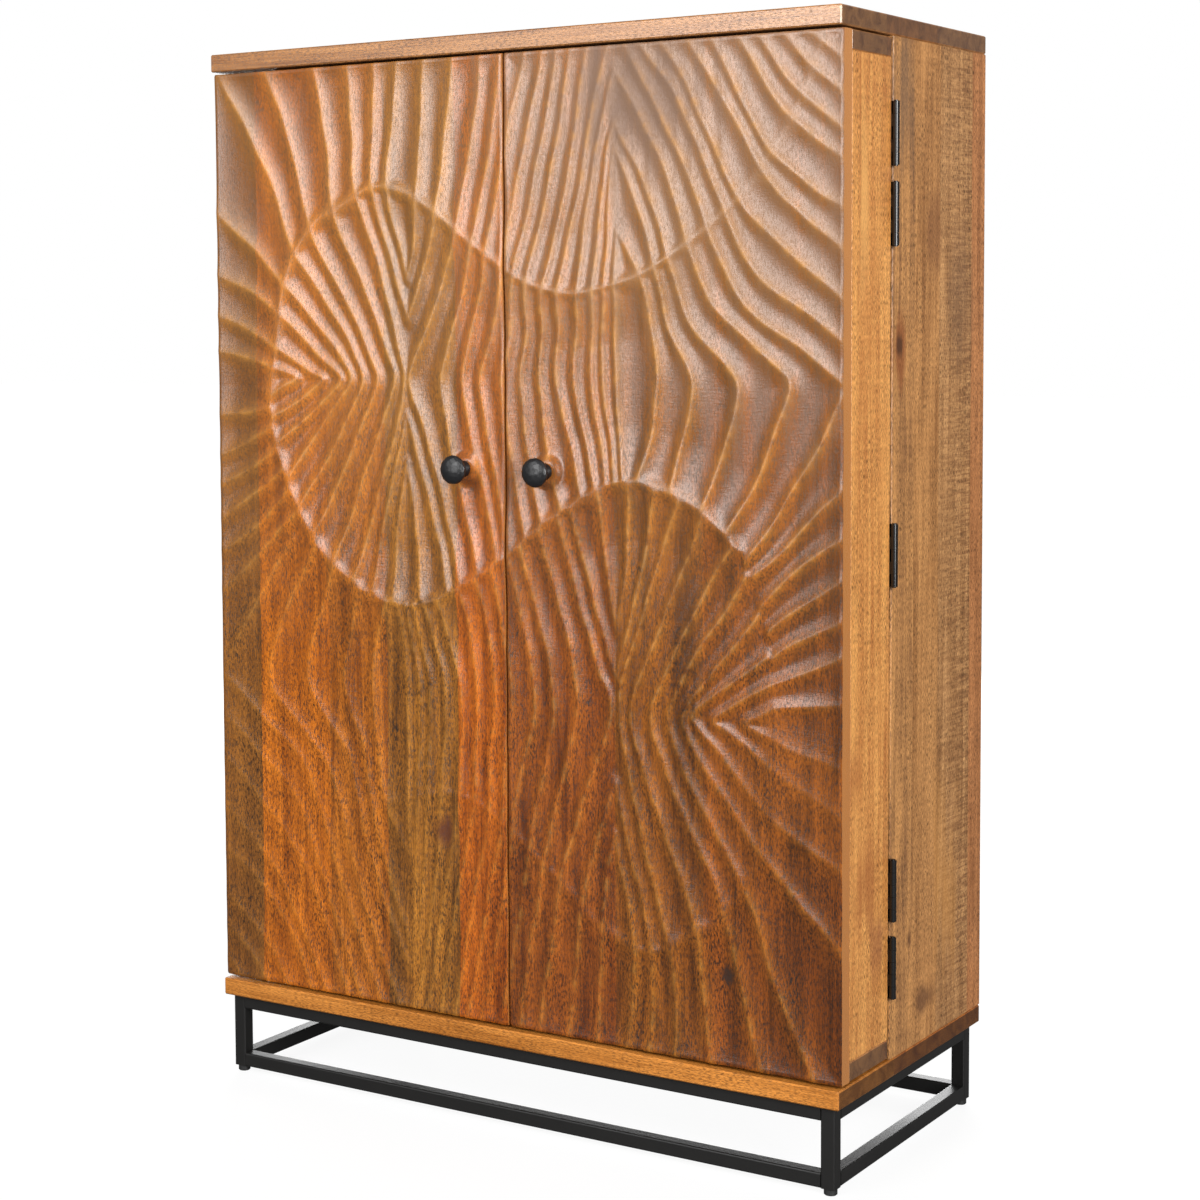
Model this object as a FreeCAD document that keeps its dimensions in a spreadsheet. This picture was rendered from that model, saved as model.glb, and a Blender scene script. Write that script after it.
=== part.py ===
import FreeCAD, Part
import os
import re
import Sketcher
from FreeCAD import Placement, Rotation, Vector

# Bar cabinet with two box doors on a welded steel base, in millimetres.
# +Z is up and the doors face -Y. The origin is under the middle of the whole outline, on the floor.

SIZES = {
    # Overall
    "cabinet_width": 800,
    "cabinet_depth": 370,
    "cabinet_height": 1200,
    # Slabs, carcass sides and back
    "slab_thickness": 20,
    "slab_ease": 1.5,
    "side_thickness": 20,
    "board_ease": 1,
    "back_thickness": 6,
    "back_lap": 10,
    "back_clearance": 0.5,
    # Shelves in the carcass
    "shelf_thickness": 18,
    "shelf_setback": 6,
    "shelf_housing": 6,
    "fixed_shelf_lift": 358,
    "loose_shelf_lift": 738,
    "loose_shelf_play": 1,
    "pin_hole_pitch": 32,
    "shelf_pin_diameter": 6,
    "shelf_pin_length": 20,
    "shelf_pin_inset": 40,
    # Rails that stemware hangs from
    "stemware_slot": 30,
    "batten_width": 14,
    "batten_height": 18,
    "slat_thickness": 8,
    "stemware_setback": 20,
    # Dowels
    "dowel_diameter": 8,
    "dowel_length": 24,
    "dowel_end_inset": 45,
    "fastener_clearance": 0.1,
    # Box doors
    "door_recess": 3,
    "door_depth": 116,
    "seam_gap": 4.6,
    "door_gap_top": 2.5,
    "door_gap_bottom": 3.5,
    "meeting_gap": 3,
    "door_front_thickness": 22,
    "door_side_thickness": 18,
    "door_end_thickness": 20,
    "door_shelf_thickness": 16,
    "door_shelf_housing": 5,
    "bottle_rail_height": 30,
    "bottle_rail_thickness": 10,
    "bottle_rail_lift": 70,
    # Butt hinges
    "hinge_length": 65,
    "barrel_diameter": 7.5,
    "hinge_pin_diameter": 4.4,
    "hinge_pin_clearance": 0.05,
    "hinge_pin_head": 1,
    "pin_axis_out": 4.2,
    "leaf_thickness": 1.5,
    "leaf_gap": 2.4,
    "leaf_reach": 20,
    "knuckle_gap": 0.3,
    "hinge_end_distance": 97,
    "hinge_pair_pitch": 82,
    "hinge_screw_inset": 13,
    "hinge_screw_spacing": 42,
    "hinge_screw_diameter": 3,
    "hinge_screw_head": 5,
    "hinge_screw_length": 15,
    # Knobs
    "knob_diameter": 32,
    "knob_head_thickness": 13,
    "knob_reach": 27,
    "knob_neck_diameter": 11,
    "knob_base_diameter": 18,
    "knob_base_height": 8,
    "knob_from_middle": 52.5,
    "knob_lift": 613.5,
    "knob_screw_diameter": 4,
    "knob_screw_grip": 10,
    "knob_screw_head": 8,
    "knob_screw_head_height": 3,
    # Magnet catches in the fixed shelf's front edge
    "magnet_diameter": 10,
    "magnet_length": 15,
    "magnet_gap": 0.8,
    "strike_diameter": 14,
    "strike_thickness": 1.5,
    # Steel base
    "foot_height": 7,
    "base_height": 86,
    "tube_width": 16,
    "tube_wall": 1.5,
    "tube_corner_radius": 2,
    "base_inset": 8,
    "corner_plate_leg": 45,
    "corner_plate_thickness": 3,
    "corner_hole_inset": 14,
    "base_screw_diameter": 5,
    "base_screw_head": 9,
    "base_screw_head_height": 3,
    "base_screw_length": 18,
    # Levelling feet
    "foot_diameter": 14,
    "foot_chamfer": 1,
    "foot_gap": 0.4,
    "stud_diameter": 6,
    "stud_length": 16,
    "stud_clearance": 0.05,
    "insert_height": 20,
    "insert_clearance": 0.1,
    # Back panel screws
    "back_screw_diameter": 3,
    "back_screw_head": 6,
    "back_screw_length": 16,
    "back_screw_end_inset": 40,
}

KNUCKLES = 5
STEMWARE_RAILS = 7
DOOR_SHELVES = 2
PIN_HOLES_EACH_WAY = 2
DOWELS_PER_JOINT = 3
SCREW_HEAD_ANGLE = 90
LENGTH_TOLERANCE = 0.01

# Places that follow from the sizes, each a formula in the names above
PLACES = {
    "knob_past_slab": "knob_reach - door_recess",
    "slab_front": "(knob_past_slab - cabinet_depth) / 2",
    "slab_rear": "slab_front + cabinet_depth",
    "half_width": "cabinet_width / 2",
    "slab_bottom": "foot_height + base_height",
    "floor_level": "slab_bottom + slab_thickness",
    "ceiling": "cabinet_height - slab_thickness",
    "inner_height": "ceiling - floor_level",
    "door_face": "slab_front + door_recess",
    "door_rear": "door_face + door_depth",
    "seam": "door_rear + seam_gap / 2",
    "carcass_front": "door_rear + seam_gap",
    "side_depth": "slab_rear - carcass_front",
    "back_front": "slab_rear - back_thickness",
    "inner_width": "cabinet_width - 2 * side_thickness",
    "shelf_front": "carcass_front + shelf_setback",
    "shelf_depth": "back_front - shelf_front - back_clearance",
    "door_bottom": "floor_level + door_gap_bottom",
    "door_top": "ceiling - door_gap_top",
    "door_height": "door_top - door_bottom",
    "door_width": "half_width - meeting_gap / 2",
    "box_front": "door_face + door_front_thickness",
    "box_depth": "door_depth - door_front_thickness",
    "door_inner_width": "door_width - 2 * door_side_thickness",
    "door_inner_height": "door_height - 2 * door_end_thickness",
    "hinge_axis": "half_width + pin_axis_out",
    "leaf_mortise": "leaf_gap / 2 + leaf_thickness - seam_gap / 2",
    "leaf_cover": "leaf_reach - pin_axis_out",
    "knuckle_length": f"hinge_length / {KNUCKLES}",
    "screw_hole": "hinge_screw_diameter + 2 * fastener_clearance",
    "stemware_pitch": f"inner_width / {STEMWARE_RAILS}",
    "slat_width": "stemware_pitch - stemware_slot",
    "stemware_front": "carcass_front + stemware_setback",
    "stemware_length": "back_front - stemware_front - back_clearance",
    "base_width": "cabinet_width - 2 * base_inset",
    "base_depth": "cabinet_depth - 2 * base_inset",
    "base_front": "slab_front + base_inset",
    "leg_centre_x": "half_width - base_inset - tube_width / 2",
    "leg_centre_y": "base_depth / 2 - tube_width / 2",
    "base_middle_y": "slab_front + cabinet_depth / 2",
    "knob_centre": "door_bottom + knob_lift",
    "magnet_across": "(meeting_gap + door_side_thickness) / 2",
    "magnet_level": "fixed_shelf_lift + shelf_thickness / 2",
}

doc = FreeCAD.newDocument("bar_cabinet")
sheet = doc.addObject("Spreadsheet::Sheet", "Sizes")
for row, (name, size) in enumerate(SIZES.items(), start=1):
    sheet.set(f"A{row}", name)
    sheet.set(f"B{row}", str(size))
    sheet.setAlias(f"B{row}", name)
doc.recompute()

nodes = []


def formula(text):
    """Writes a formula in size and place names as an expression on the sheet."""

    def swap(match):
        word = match.group()
        if word in PLACES:
            return "(" + formula(PLACES[word]) + ")"
        return "Sizes." + word

    return re.sub(r"[a-z][a-z_]+", swap, str(text))


def bind(thing, **sizes):
    for name, text in sizes.items():
        thing.setExpression(name, formula(text))


def place(thing, x, y, z, turn=None):
    """Puts a piece's own zero point at x, y, z, after a turn where one is given."""
    if turn:
        thing.Placement = Placement(Vector(), turn)
    for axis, text in zip("xyz", (x, y, z)):
        thing.setExpression(f"Placement.Base.{axis}", formula(text))


def keep(thing, label):
    """Marks a finished piece: its label names its file."""
    thing.Label = label
    nodes.append(thing)
    return thing


# Sketches and features

def new_sketch(body, role, level="0"):
    """An empty sketch on one of the body's origin planes, moved along the plane's normal by level."""
    sketch = body.newObject("Sketcher::SketchObject", "Sketch")
    plane = next(item for item in body.Origin.OriginFeatures if item.Role == role)
    sketch.AttachmentSupport = [(plane, "")]
    sketch.MapMode = "FlatFace"
    sketch.setExpression("AttachmentOffset.Base.z", formula(level))
    return sketch


def drive(sketch, constraint, text):
    index = sketch.addConstraint(constraint)
    sketch.setExpression(f"Constraints[{index}]", formula(text))


def draw_outline(sketch, points):
    """A closed outline of straight lines through points, each a pair of formulas from the sketch's zero."""
    first = sketch.GeometryCount
    count = len(points)
    rough = [Vector(*corner) for corner in ((1, 1), (9, 1), (9, 9), (1, 9))]
    for n in range(count):
        sketch.addGeometry(Part.LineSegment(rough[n], rough[(n + 1) % count]))
    for n in range(count):
        following = first + (n + 1) % count
        sketch.addConstraint(Sketcher.Constraint("Coincident", first + n, 2, following, 1))
    for n, (across, up) in enumerate(points):
        drive(sketch, Sketcher.Constraint("DistanceX", -1, 1, first + n, 1, 1.0), across)
        drive(sketch, Sketcher.Constraint("DistanceY", -1, 1, first + n, 1, 1.0), up)


def draw_rectangle(sketch, left, bottom, width, height):
    right = f"{left} + {width}"
    top = f"{bottom} + {height}"
    draw_outline(sketch, [(left, bottom), (right, bottom), (right, top), (left, top)])


def draw_circle(sketch, across, up, diameter):
    index = sketch.addGeometry(Part.Circle(Vector(1, 1, 0), Vector(0, 0, 1), 1))
    drive(sketch, Sketcher.Constraint("DistanceX", -1, 1, index, 3, 1.0), across)
    drive(sketch, Sketcher.Constraint("DistanceY", -1, 1, index, 3, 1.0), up)
    drive(sketch, Sketcher.Constraint("Diameter", index, 1.0), diameter)


def pad(body, sketch, length, middle=False):
    feature = body.newObject("PartDesign::Pad", "Pad")
    feature.Profile = sketch
    feature.Midplane = middle
    bind(feature, Length=length)
    body.Tip = feature
    return feature


def pocket(body, sketch, depth, forward=False):
    """Cuts against the sketch's normal, or along it where forward is set; no depth cuts both ways through."""
    feature = body.newObject("PartDesign::Pocket", "Pocket")
    feature.Profile = sketch
    if depth is None:
        feature.Type = "ThroughAll"
        feature.Midplane = True
    else:
        bind(feature, Length=depth)
        feature.Reversed = forward
    body.Tip = feature
    return feature


def ease_edges(body, feature, size):
    """A small chamfer all round, as sandpaper leaves it."""
    chamfer = body.newObject("PartDesign::Chamfer", "Chamfer")
    chamfer.Base = (feature, [])
    chamfer.UseAllEdges = True
    bind(chamfer, Size=size)
    body.Tip = chamfer


def new_body(name, x, y, z):
    body = doc.addObject("PartDesign::Body", name)
    place(body, x, y, z)
    return body


def board(label, x, y, z, width, depth, height, ease=None):
    """A straight board with its lowest corner at x, y, z."""
    body = new_body(label, x, y, z)
    sketch = new_sketch(body, "XY_Plane")
    draw_rectangle(sketch, "0", "0", width, depth)
    blank = pad(body, sketch, height)
    if ease:
        ease_edges(body, blank, ease)
    return keep(body, label)


def drill(body, role, level, spots, diameter, depth, forward=False):
    sketch = new_sketch(body, role, level)
    for across, up in spots:
        draw_circle(sketch, across, up, diameter)
    return pocket(body, sketch, depth, forward)


def countersink(body, sketch, diameter, head, rearward):
    """Screw holes through a plate, each with a cone for the screw's flat head at the sketch's side."""
    doc.recompute()
    holes = body.newObject("PartDesign::Hole", "Hole")
    holes.Profile = sketch
    holes.Threaded = False
    holes.DepthType = "ThroughAll"
    holes.HoleCutType = "Countersink"
    holes.HoleCutCustomValues = True
    holes.HoleCutCountersinkAngle = SCREW_HEAD_ANGLE
    holes.Reversed = rearward
    bind(holes, Diameter=f"{diameter} + 2 * fastener_clearance",
         HoleCutDiameter=f"{head} + 2 * fastener_clearance")
    body.Tip = holes


def group(label, master, places, turn=None):
    """One node of separate equal pieces: a copy of the master at each place."""
    copies = []
    for n, (x, y, z) in enumerate(places):
        copy = doc.addObject("App::Link", f"{label}_{n}")
        copy.LinkedObject = master
        place(copy, x, y, z, turn)
        copies.append(copy)
    compound = doc.addObject("Part::Compound", label)
    compound.Links = copies
    return keep(compound, label)


def round_bar(name, diameter, length, level="0", end_diameter=None):
    """A cylinder along +Z from level, or a cone where the far end has its own diameter."""
    if end_diameter is None:
        bar = doc.addObject("Part::Cylinder", name)
        bind(bar, Radius=f"({diameter}) / 2", Height=length)
    else:
        bar = doc.addObject("Part::Cone", name)
        bind(bar, Radius1=f"({diameter}) / 2", Radius2=f"({end_diameter}) / 2", Height=length)
    place(bar, "0", "0", level)
    return bar


def fuse(name, pieces):
    joined = doc.addObject("Part::MultiFuse", name)
    joined.Shapes = pieces
    joined.Refine = True
    return joined


def wood_screw(name, diameter, head, length):
    """A countersunk screw along +Z: its flat head at zero, its pointed end at length."""
    taper = f"({head} - {diameter}) / 2"
    return fuse(name, [
        round_bar(name + "_head", head, taper, "0", diameter),
        round_bar(name + "_shank", diameter, f"{length} - {diameter}"),
        round_bar(name + "_point", diameter, diameter, f"{length} - {diameter}", "0"),
    ])


FACING_REAR = Rotation(Vector(1, 0, 0), -90)
FACING_FRONT = Rotation(Vector(1, 0, 0), 90)
HALF_TURN = Rotation(Vector(0, 1, 0), 180)
SIDES = {"left": -1, "right": 1}


def low_x(side, near, far):
    """The lowest x of a span that runs from near to far, counted outwards from the middle."""
    return near if side > 0 else f"-({far})"


def low_edge(at_low, band, whole):
    """Where a band starts inside a width: at its low edge, or ending at its high edge."""
    return "0" if at_low else f"{whole} - ({band})"


def evenly(count, first, last):
    """Formulas for count places spaced evenly from first to last."""
    return [f"{first} + (({last}) - ({first})) * {n} / {count - 1}" for n in range(count)]


hinge_levels = [
    "door_bottom + hinge_end_distance",
    "door_bottom + hinge_end_distance + hinge_pair_pitch",
    "(door_bottom + door_top) / 2",
    "door_top - hinge_end_distance - hinge_pair_pitch",
    "door_top - hinge_end_distance",
]
hinge_screw_levels = [
    f"{level} + {way} * hinge_screw_spacing / 2" for level in hinge_levels for way in (-1, 1)
]
back_screw_levels = [
    "back_screw_end_inset",
    "fixed_shelf_lift / 2",
    "(fixed_shelf_lift + shelf_thickness + inner_height) / 2",
    "inner_height - back_screw_end_inset",
]
dowel_depths = evenly(DOWELS_PER_JOINT, "dowel_end_inset", "side_depth - dowel_end_inset")


# Slabs and carcass sides, joined by dowels

def slab(label, z, joint_face, forward):
    """A full-width slab with the dowel holes of both side joints in one face."""
    body = board(label, "-half_width", "slab_front", z,
                 "cabinet_width", "cabinet_depth", "slab_thickness", "slab_ease")
    spots = []
    for across in ("side_thickness / 2", "cabinet_width - side_thickness / 2"):
        spots += [(across, f"carcass_front - slab_front + {depth}") for depth in dowel_depths]
    drill(body, "XY_Plane", joint_face, spots, "dowel_diameter + 2 * fastener_clearance",
          "dowel_length / 2 + fastener_clearance", forward)
    return body


top_panel = slab("top_panel", "ceiling", "0", True)
bottom_panel = slab("bottom_panel", "slab_bottom", "slab_thickness", False)

dowel = round_bar("dowel", "dowel_diameter", "dowel_length")
group("carcass_dowels", dowel, [
    (f"{side} * (half_width - side_thickness / 2)", f"carcass_front + {depth}",
     f"{level} - dowel_length / 2")
    for side in SIDES.values() for depth in dowel_depths for level in ("floor_level", "ceiling")
])

pin_rows = ["shelf_setback + shelf_pin_inset", "shelf_setback + shelf_depth - shelf_pin_inset"]
pin_levels = [
    f"loose_shelf_lift - shelf_pin_diameter / 2 + {n} * pin_hole_pitch"
    for n in range(-PIN_HOLES_EACH_WAY, PIN_HOLES_EACH_WAY + 1)
]

for word, side in SIDES.items():
    label = f"{word}_side_panel"
    inside_low = side > 0
    panel_low = low_x(side, "half_width - side_thickness", "half_width")
    panel = board(label, panel_low, "carcass_front", "floor_level",
                  "side_thickness", "side_depth", "inner_height", "board_ease")
    # Rebate for the back panel
    rebate = new_sketch(panel, "XY_Plane")
    draw_rectangle(rebate, low_edge(inside_low, "back_lap", "side_thickness"), "side_depth - back_thickness",
                   "back_lap", "back_thickness")
    pocket(panel, rebate, "inner_height", True)
    # Housing that carries the fixed shelf
    housing = new_sketch(panel, "XZ_Plane")
    draw_rectangle(housing, low_edge(inside_low, "shelf_housing", "side_thickness"), "fixed_shelf_lift",
                   "shelf_housing", "shelf_thickness")
    pocket(panel, housing, "side_depth")
    # Dowel holes at both ends
    spots = [("side_thickness / 2", depth) for depth in dowel_depths]
    hole = "dowel_diameter + 2 * fastener_clearance"
    hole_depth = "dowel_length / 2 + fastener_clearance"
    drill(panel, "XY_Plane", "0", spots, hole, hole_depth, True)
    drill(panel, "XY_Plane", "inner_height", spots, hole, hole_depth)
    # Rows of holes for the shelf pins
    inner_face = "0" if inside_low else "side_thickness"
    drill(panel, "YZ_Plane", inner_face, [(row, level) for row in pin_rows for level in pin_levels],
          "shelf_pin_diameter + 2 * fastener_clearance",
          "shelf_pin_length / 2 + fastener_clearance", inside_low)
    # Shallow mortises for the hinge leaves in the front edge, and their screw holes
    mortise = new_sketch(panel, "XZ_Plane")
    for level in hinge_levels:
        draw_rectangle(mortise, low_edge(not inside_low, "leaf_cover", "side_thickness"),
                       f"{level} - floor_level - hinge_length / 2", "leaf_cover", "hinge_length")
    pocket(panel, mortise, "leaf_mortise")
    screw_across = "hinge_screw_inset - pin_axis_out"
    if inside_low:
        screw_across = f"side_thickness - ({screw_across})"
    drill(panel, "XZ_Plane", "0", [(screw_across, f"{level} - floor_level") for level in hinge_screw_levels],
          "screw_hole", "hinge_screw_length + leaf_mortise")
    # Holes for the screws of the back panel
    across = "back_lap / 2" if inside_low else "side_thickness - back_lap / 2"
    drill(panel, "XZ_Plane", "back_thickness - side_depth", [(across, level) for level in back_screw_levels],
          "back_screw_diameter + 2 * fastener_clearance", "back_screw_length", True)

# Back panel in its rebates, with countersunk screws
back_width = "inner_width + 2 * back_lap - 2 * back_clearance"
back = board("back_panel", f"-({back_width}) / 2", "back_front", "floor_level + back_clearance",
             back_width, "back_thickness", "inner_height - 2 * back_clearance")
back_screw = wood_screw("back_screw", "back_screw_diameter", "back_screw_head", "back_screw_length")
back_screw_across = "half_width - side_thickness + back_lap / 2"
sink = new_sketch(back, "XZ_Plane", "-back_thickness")
for side in SIDES.values():
    for level in back_screw_levels:
        draw_circle(sink, f"({back_width}) / 2 + {side} * ({back_screw_across})",
                    f"{level} - back_clearance", "back_screw_diameter")
countersink(back, sink, "back_screw_diameter", "back_screw_head", True)
group("back_panel_screws", back_screw, [
    (f"{side} * ({back_screw_across})", "slab_rear", f"floor_level + {level}")
    for side in SIDES.values() for level in back_screw_levels
], FACING_FRONT)

# Fixed shelf in the side housings, with the doors' magnets let into its front edge
fixed_shelf = board("fixed_shelf", "-inner_width / 2 - shelf_housing", "carcass_front",
                    "floor_level + fixed_shelf_lift", "inner_width + 2 * shelf_housing",
                    "shelf_depth + shelf_setback", "shelf_thickness", "board_ease")
drill(fixed_shelf, "XZ_Plane", "0",
      [(f"inner_width / 2 + shelf_housing + {side} * magnet_across", "shelf_thickness / 2")
       for side in SIDES.values()],
      "magnet_diameter + 2 * fastener_clearance",
      "magnet_length - seam_gap + magnet_gap + fastener_clearance")
magnet = round_bar("magnet", "magnet_diameter", "magnet_length")
group("magnet_catches", magnet, [
    (f"{side} * magnet_across", "door_rear + magnet_gap", "floor_level + magnet_level")
    for side in SIDES.values()
], FACING_REAR)

# Loose shelf on four pins
board("loose_shelf", "-inner_width / 2 + loose_shelf_play", "shelf_front", "floor_level + loose_shelf_lift",
      "inner_width - 2 * loose_shelf_play", "shelf_depth", "shelf_thickness", "board_ease")
shelf_pin = round_bar("shelf_pin", "shelf_pin_diameter", "shelf_pin_length")
shelf_pin_places = [
    (f"{side} * inner_width / 2 - shelf_pin_length / 2", f"carcass_front + {row}",
     "floor_level + loose_shelf_lift - shelf_pin_diameter / 2")
    for side in SIDES.values() for row in pin_rows
]
group("shelf_pins", shelf_pin, shelf_pin_places, Rotation(Vector(0, 1, 0), 90))

# Stemware rails under the top slab: a batten with a wider slat under it
rail_centres = [f"({n} - {STEMWARE_RAILS - 1} / 2) * stemware_pitch" for n in range(STEMWARE_RAILS)]
batten = doc.addObject("Part::Box", "stemware_batten")
bind(batten, Length="batten_width", Width="stemware_length", Height="batten_height")
slat = doc.addObject("Part::Box", "stemware_slat")
bind(slat, Length="slat_width", Width="stemware_length", Height="slat_thickness")
group("stemware_battens", batten, [
    (f"{centre} - batten_width / 2", "stemware_front", "ceiling - batten_height") for centre in rail_centres
])
group("stemware_slats", slat, [
    (f"{centre} - slat_width / 2", "stemware_front", "ceiling - batten_height - slat_thickness")
    for centre in rail_centres
])

# Butt hinges: two leaves with interleaved knuckles on one pin

def hinge_leaf(name, way, own_first):
    """A leaf about its pin axis: way is 1 for the carcass leaf and -1 for the door leaf."""
    leaf = new_body(name, "0", "0", "0")
    plate = new_sketch(leaf, "XY_Plane")
    near = "leaf_gap / 2" if way > 0 else "-leaf_gap / 2 - leaf_thickness"
    draw_rectangle(plate, "-leaf_reach", near, "leaf_reach", "leaf_thickness")
    pad(leaf, plate, "hinge_length", True)
    barrel = new_sketch(leaf, "XY_Plane")
    draw_circle(barrel, "0", "0", "barrel_diameter")
    pad(leaf, barrel, "hinge_length", True)
    bore = new_sketch(leaf, "XY_Plane")
    draw_circle(bore, "0", "0", "hinge_pin_diameter + 2 * hinge_pin_clearance")
    pocket(leaf, bore, None)
    gaps = new_sketch(leaf, "XZ_Plane")
    for n in range(1 if own_first else 0, KNUCKLES, 2):
        draw_rectangle(gaps, "-barrel_diameter / 2 - knuckle_gap",
                       f"{n} * knuckle_length - hinge_length / 2 - knuckle_gap / 2",
                       "barrel_diameter + 2 * knuckle_gap", "knuckle_length + knuckle_gap")
    pocket(leaf, gaps, None)
    sink = new_sketch(leaf, "XZ_Plane", f"{-way} * leaf_gap / 2")
    for up in (-1, 1):
        draw_circle(sink, "-hinge_screw_inset", f"{up} * hinge_screw_spacing / 2", "hinge_screw_diameter")
    countersink(leaf, sink, "hinge_screw_diameter", "hinge_screw_head", way < 0)
    return leaf


carcass_leaf = hinge_leaf("carcass_leaf", 1, True)
door_leaf = hinge_leaf("door_leaf", -1, False)
hinge_pin = round_bar("hinge_pin", "hinge_pin_diameter", "hinge_length + 2 * hinge_pin_head",
                      "-hinge_length / 2 - hinge_pin_head")
hinge_screw = wood_screw("hinge_screw", "hinge_screw_diameter", "hinge_screw_head", "hinge_screw_length")

for word, side in SIDES.items():
    turn = HALF_TURN if side < 0 else None
    spots = [(f"{side} * hinge_axis", "seam", level) for level in hinge_levels]
    group(f"{word}_hinge_carcass_leaves", carcass_leaf, spots, turn)
    group(f"{word}_hinge_door_leaves", door_leaf, spots, turn)
    screw_x = f"{side} * (hinge_axis - hinge_screw_inset)"
    group(f"{word}_hinge_door_screws", hinge_screw,
          [(screw_x, "seam - leaf_gap / 2", level) for level in hinge_screw_levels], FACING_FRONT)
group("hinge_pins", hinge_pin, [
    (f"{side} * hinge_axis", "seam", f"{level} - hinge_length / 2 - hinge_pin_head")
    for side in SIDES.values() for level in hinge_levels
])
group("hinge_carcass_screws", hinge_screw, [
    (f"{side} * (hinge_axis - hinge_screw_inset)", "seam + leaf_gap / 2", level)
    for side in SIDES.values() for level in hinge_screw_levels
], FACING_REAR)


# Box doors

def knob(label, x):
    """A domed head on a neck with a flared base, bored for its screw; its axis points to the front."""
    head_centre = "knob_reach - knob_head_thickness / 2"
    head = doc.addObject("Part::Ellipsoid", label + "_head")
    bind(head, Radius1="knob_head_thickness / 2", Radius2="knob_diameter / 2", Radius3="knob_diameter / 2")
    place(head, "0", "0", head_centre)
    solid = fuse(label + "_solid", [
        round_bar(label + "_base", "knob_base_diameter", "knob_base_height", "0", "knob_neck_diameter"),
        round_bar(label + "_neck", "knob_neck_diameter", head_centre),
        head,
    ])
    bored = doc.addObject("Part::Cut", label)
    bored.Base = solid
    bored.Tool = round_bar(label + "_bore", "knob_screw_diameter + 2 * fastener_clearance",
                           "knob_screw_grip + fastener_clearance")
    place(bored, x, "door_face", "knob_centre", FACING_FRONT)
    return keep(bored, label)


bay_height = f"(door_inner_height - {DOOR_SHELVES} * door_shelf_thickness) / {DOOR_SHELVES + 1}"
bay_floors = [f"{n} * (({bay_height}) + door_shelf_thickness)" for n in range(DOOR_SHELVES + 1)]
shelf_levels = [f"{floor} - door_shelf_thickness" for floor in bay_floors[1:]]

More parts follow.
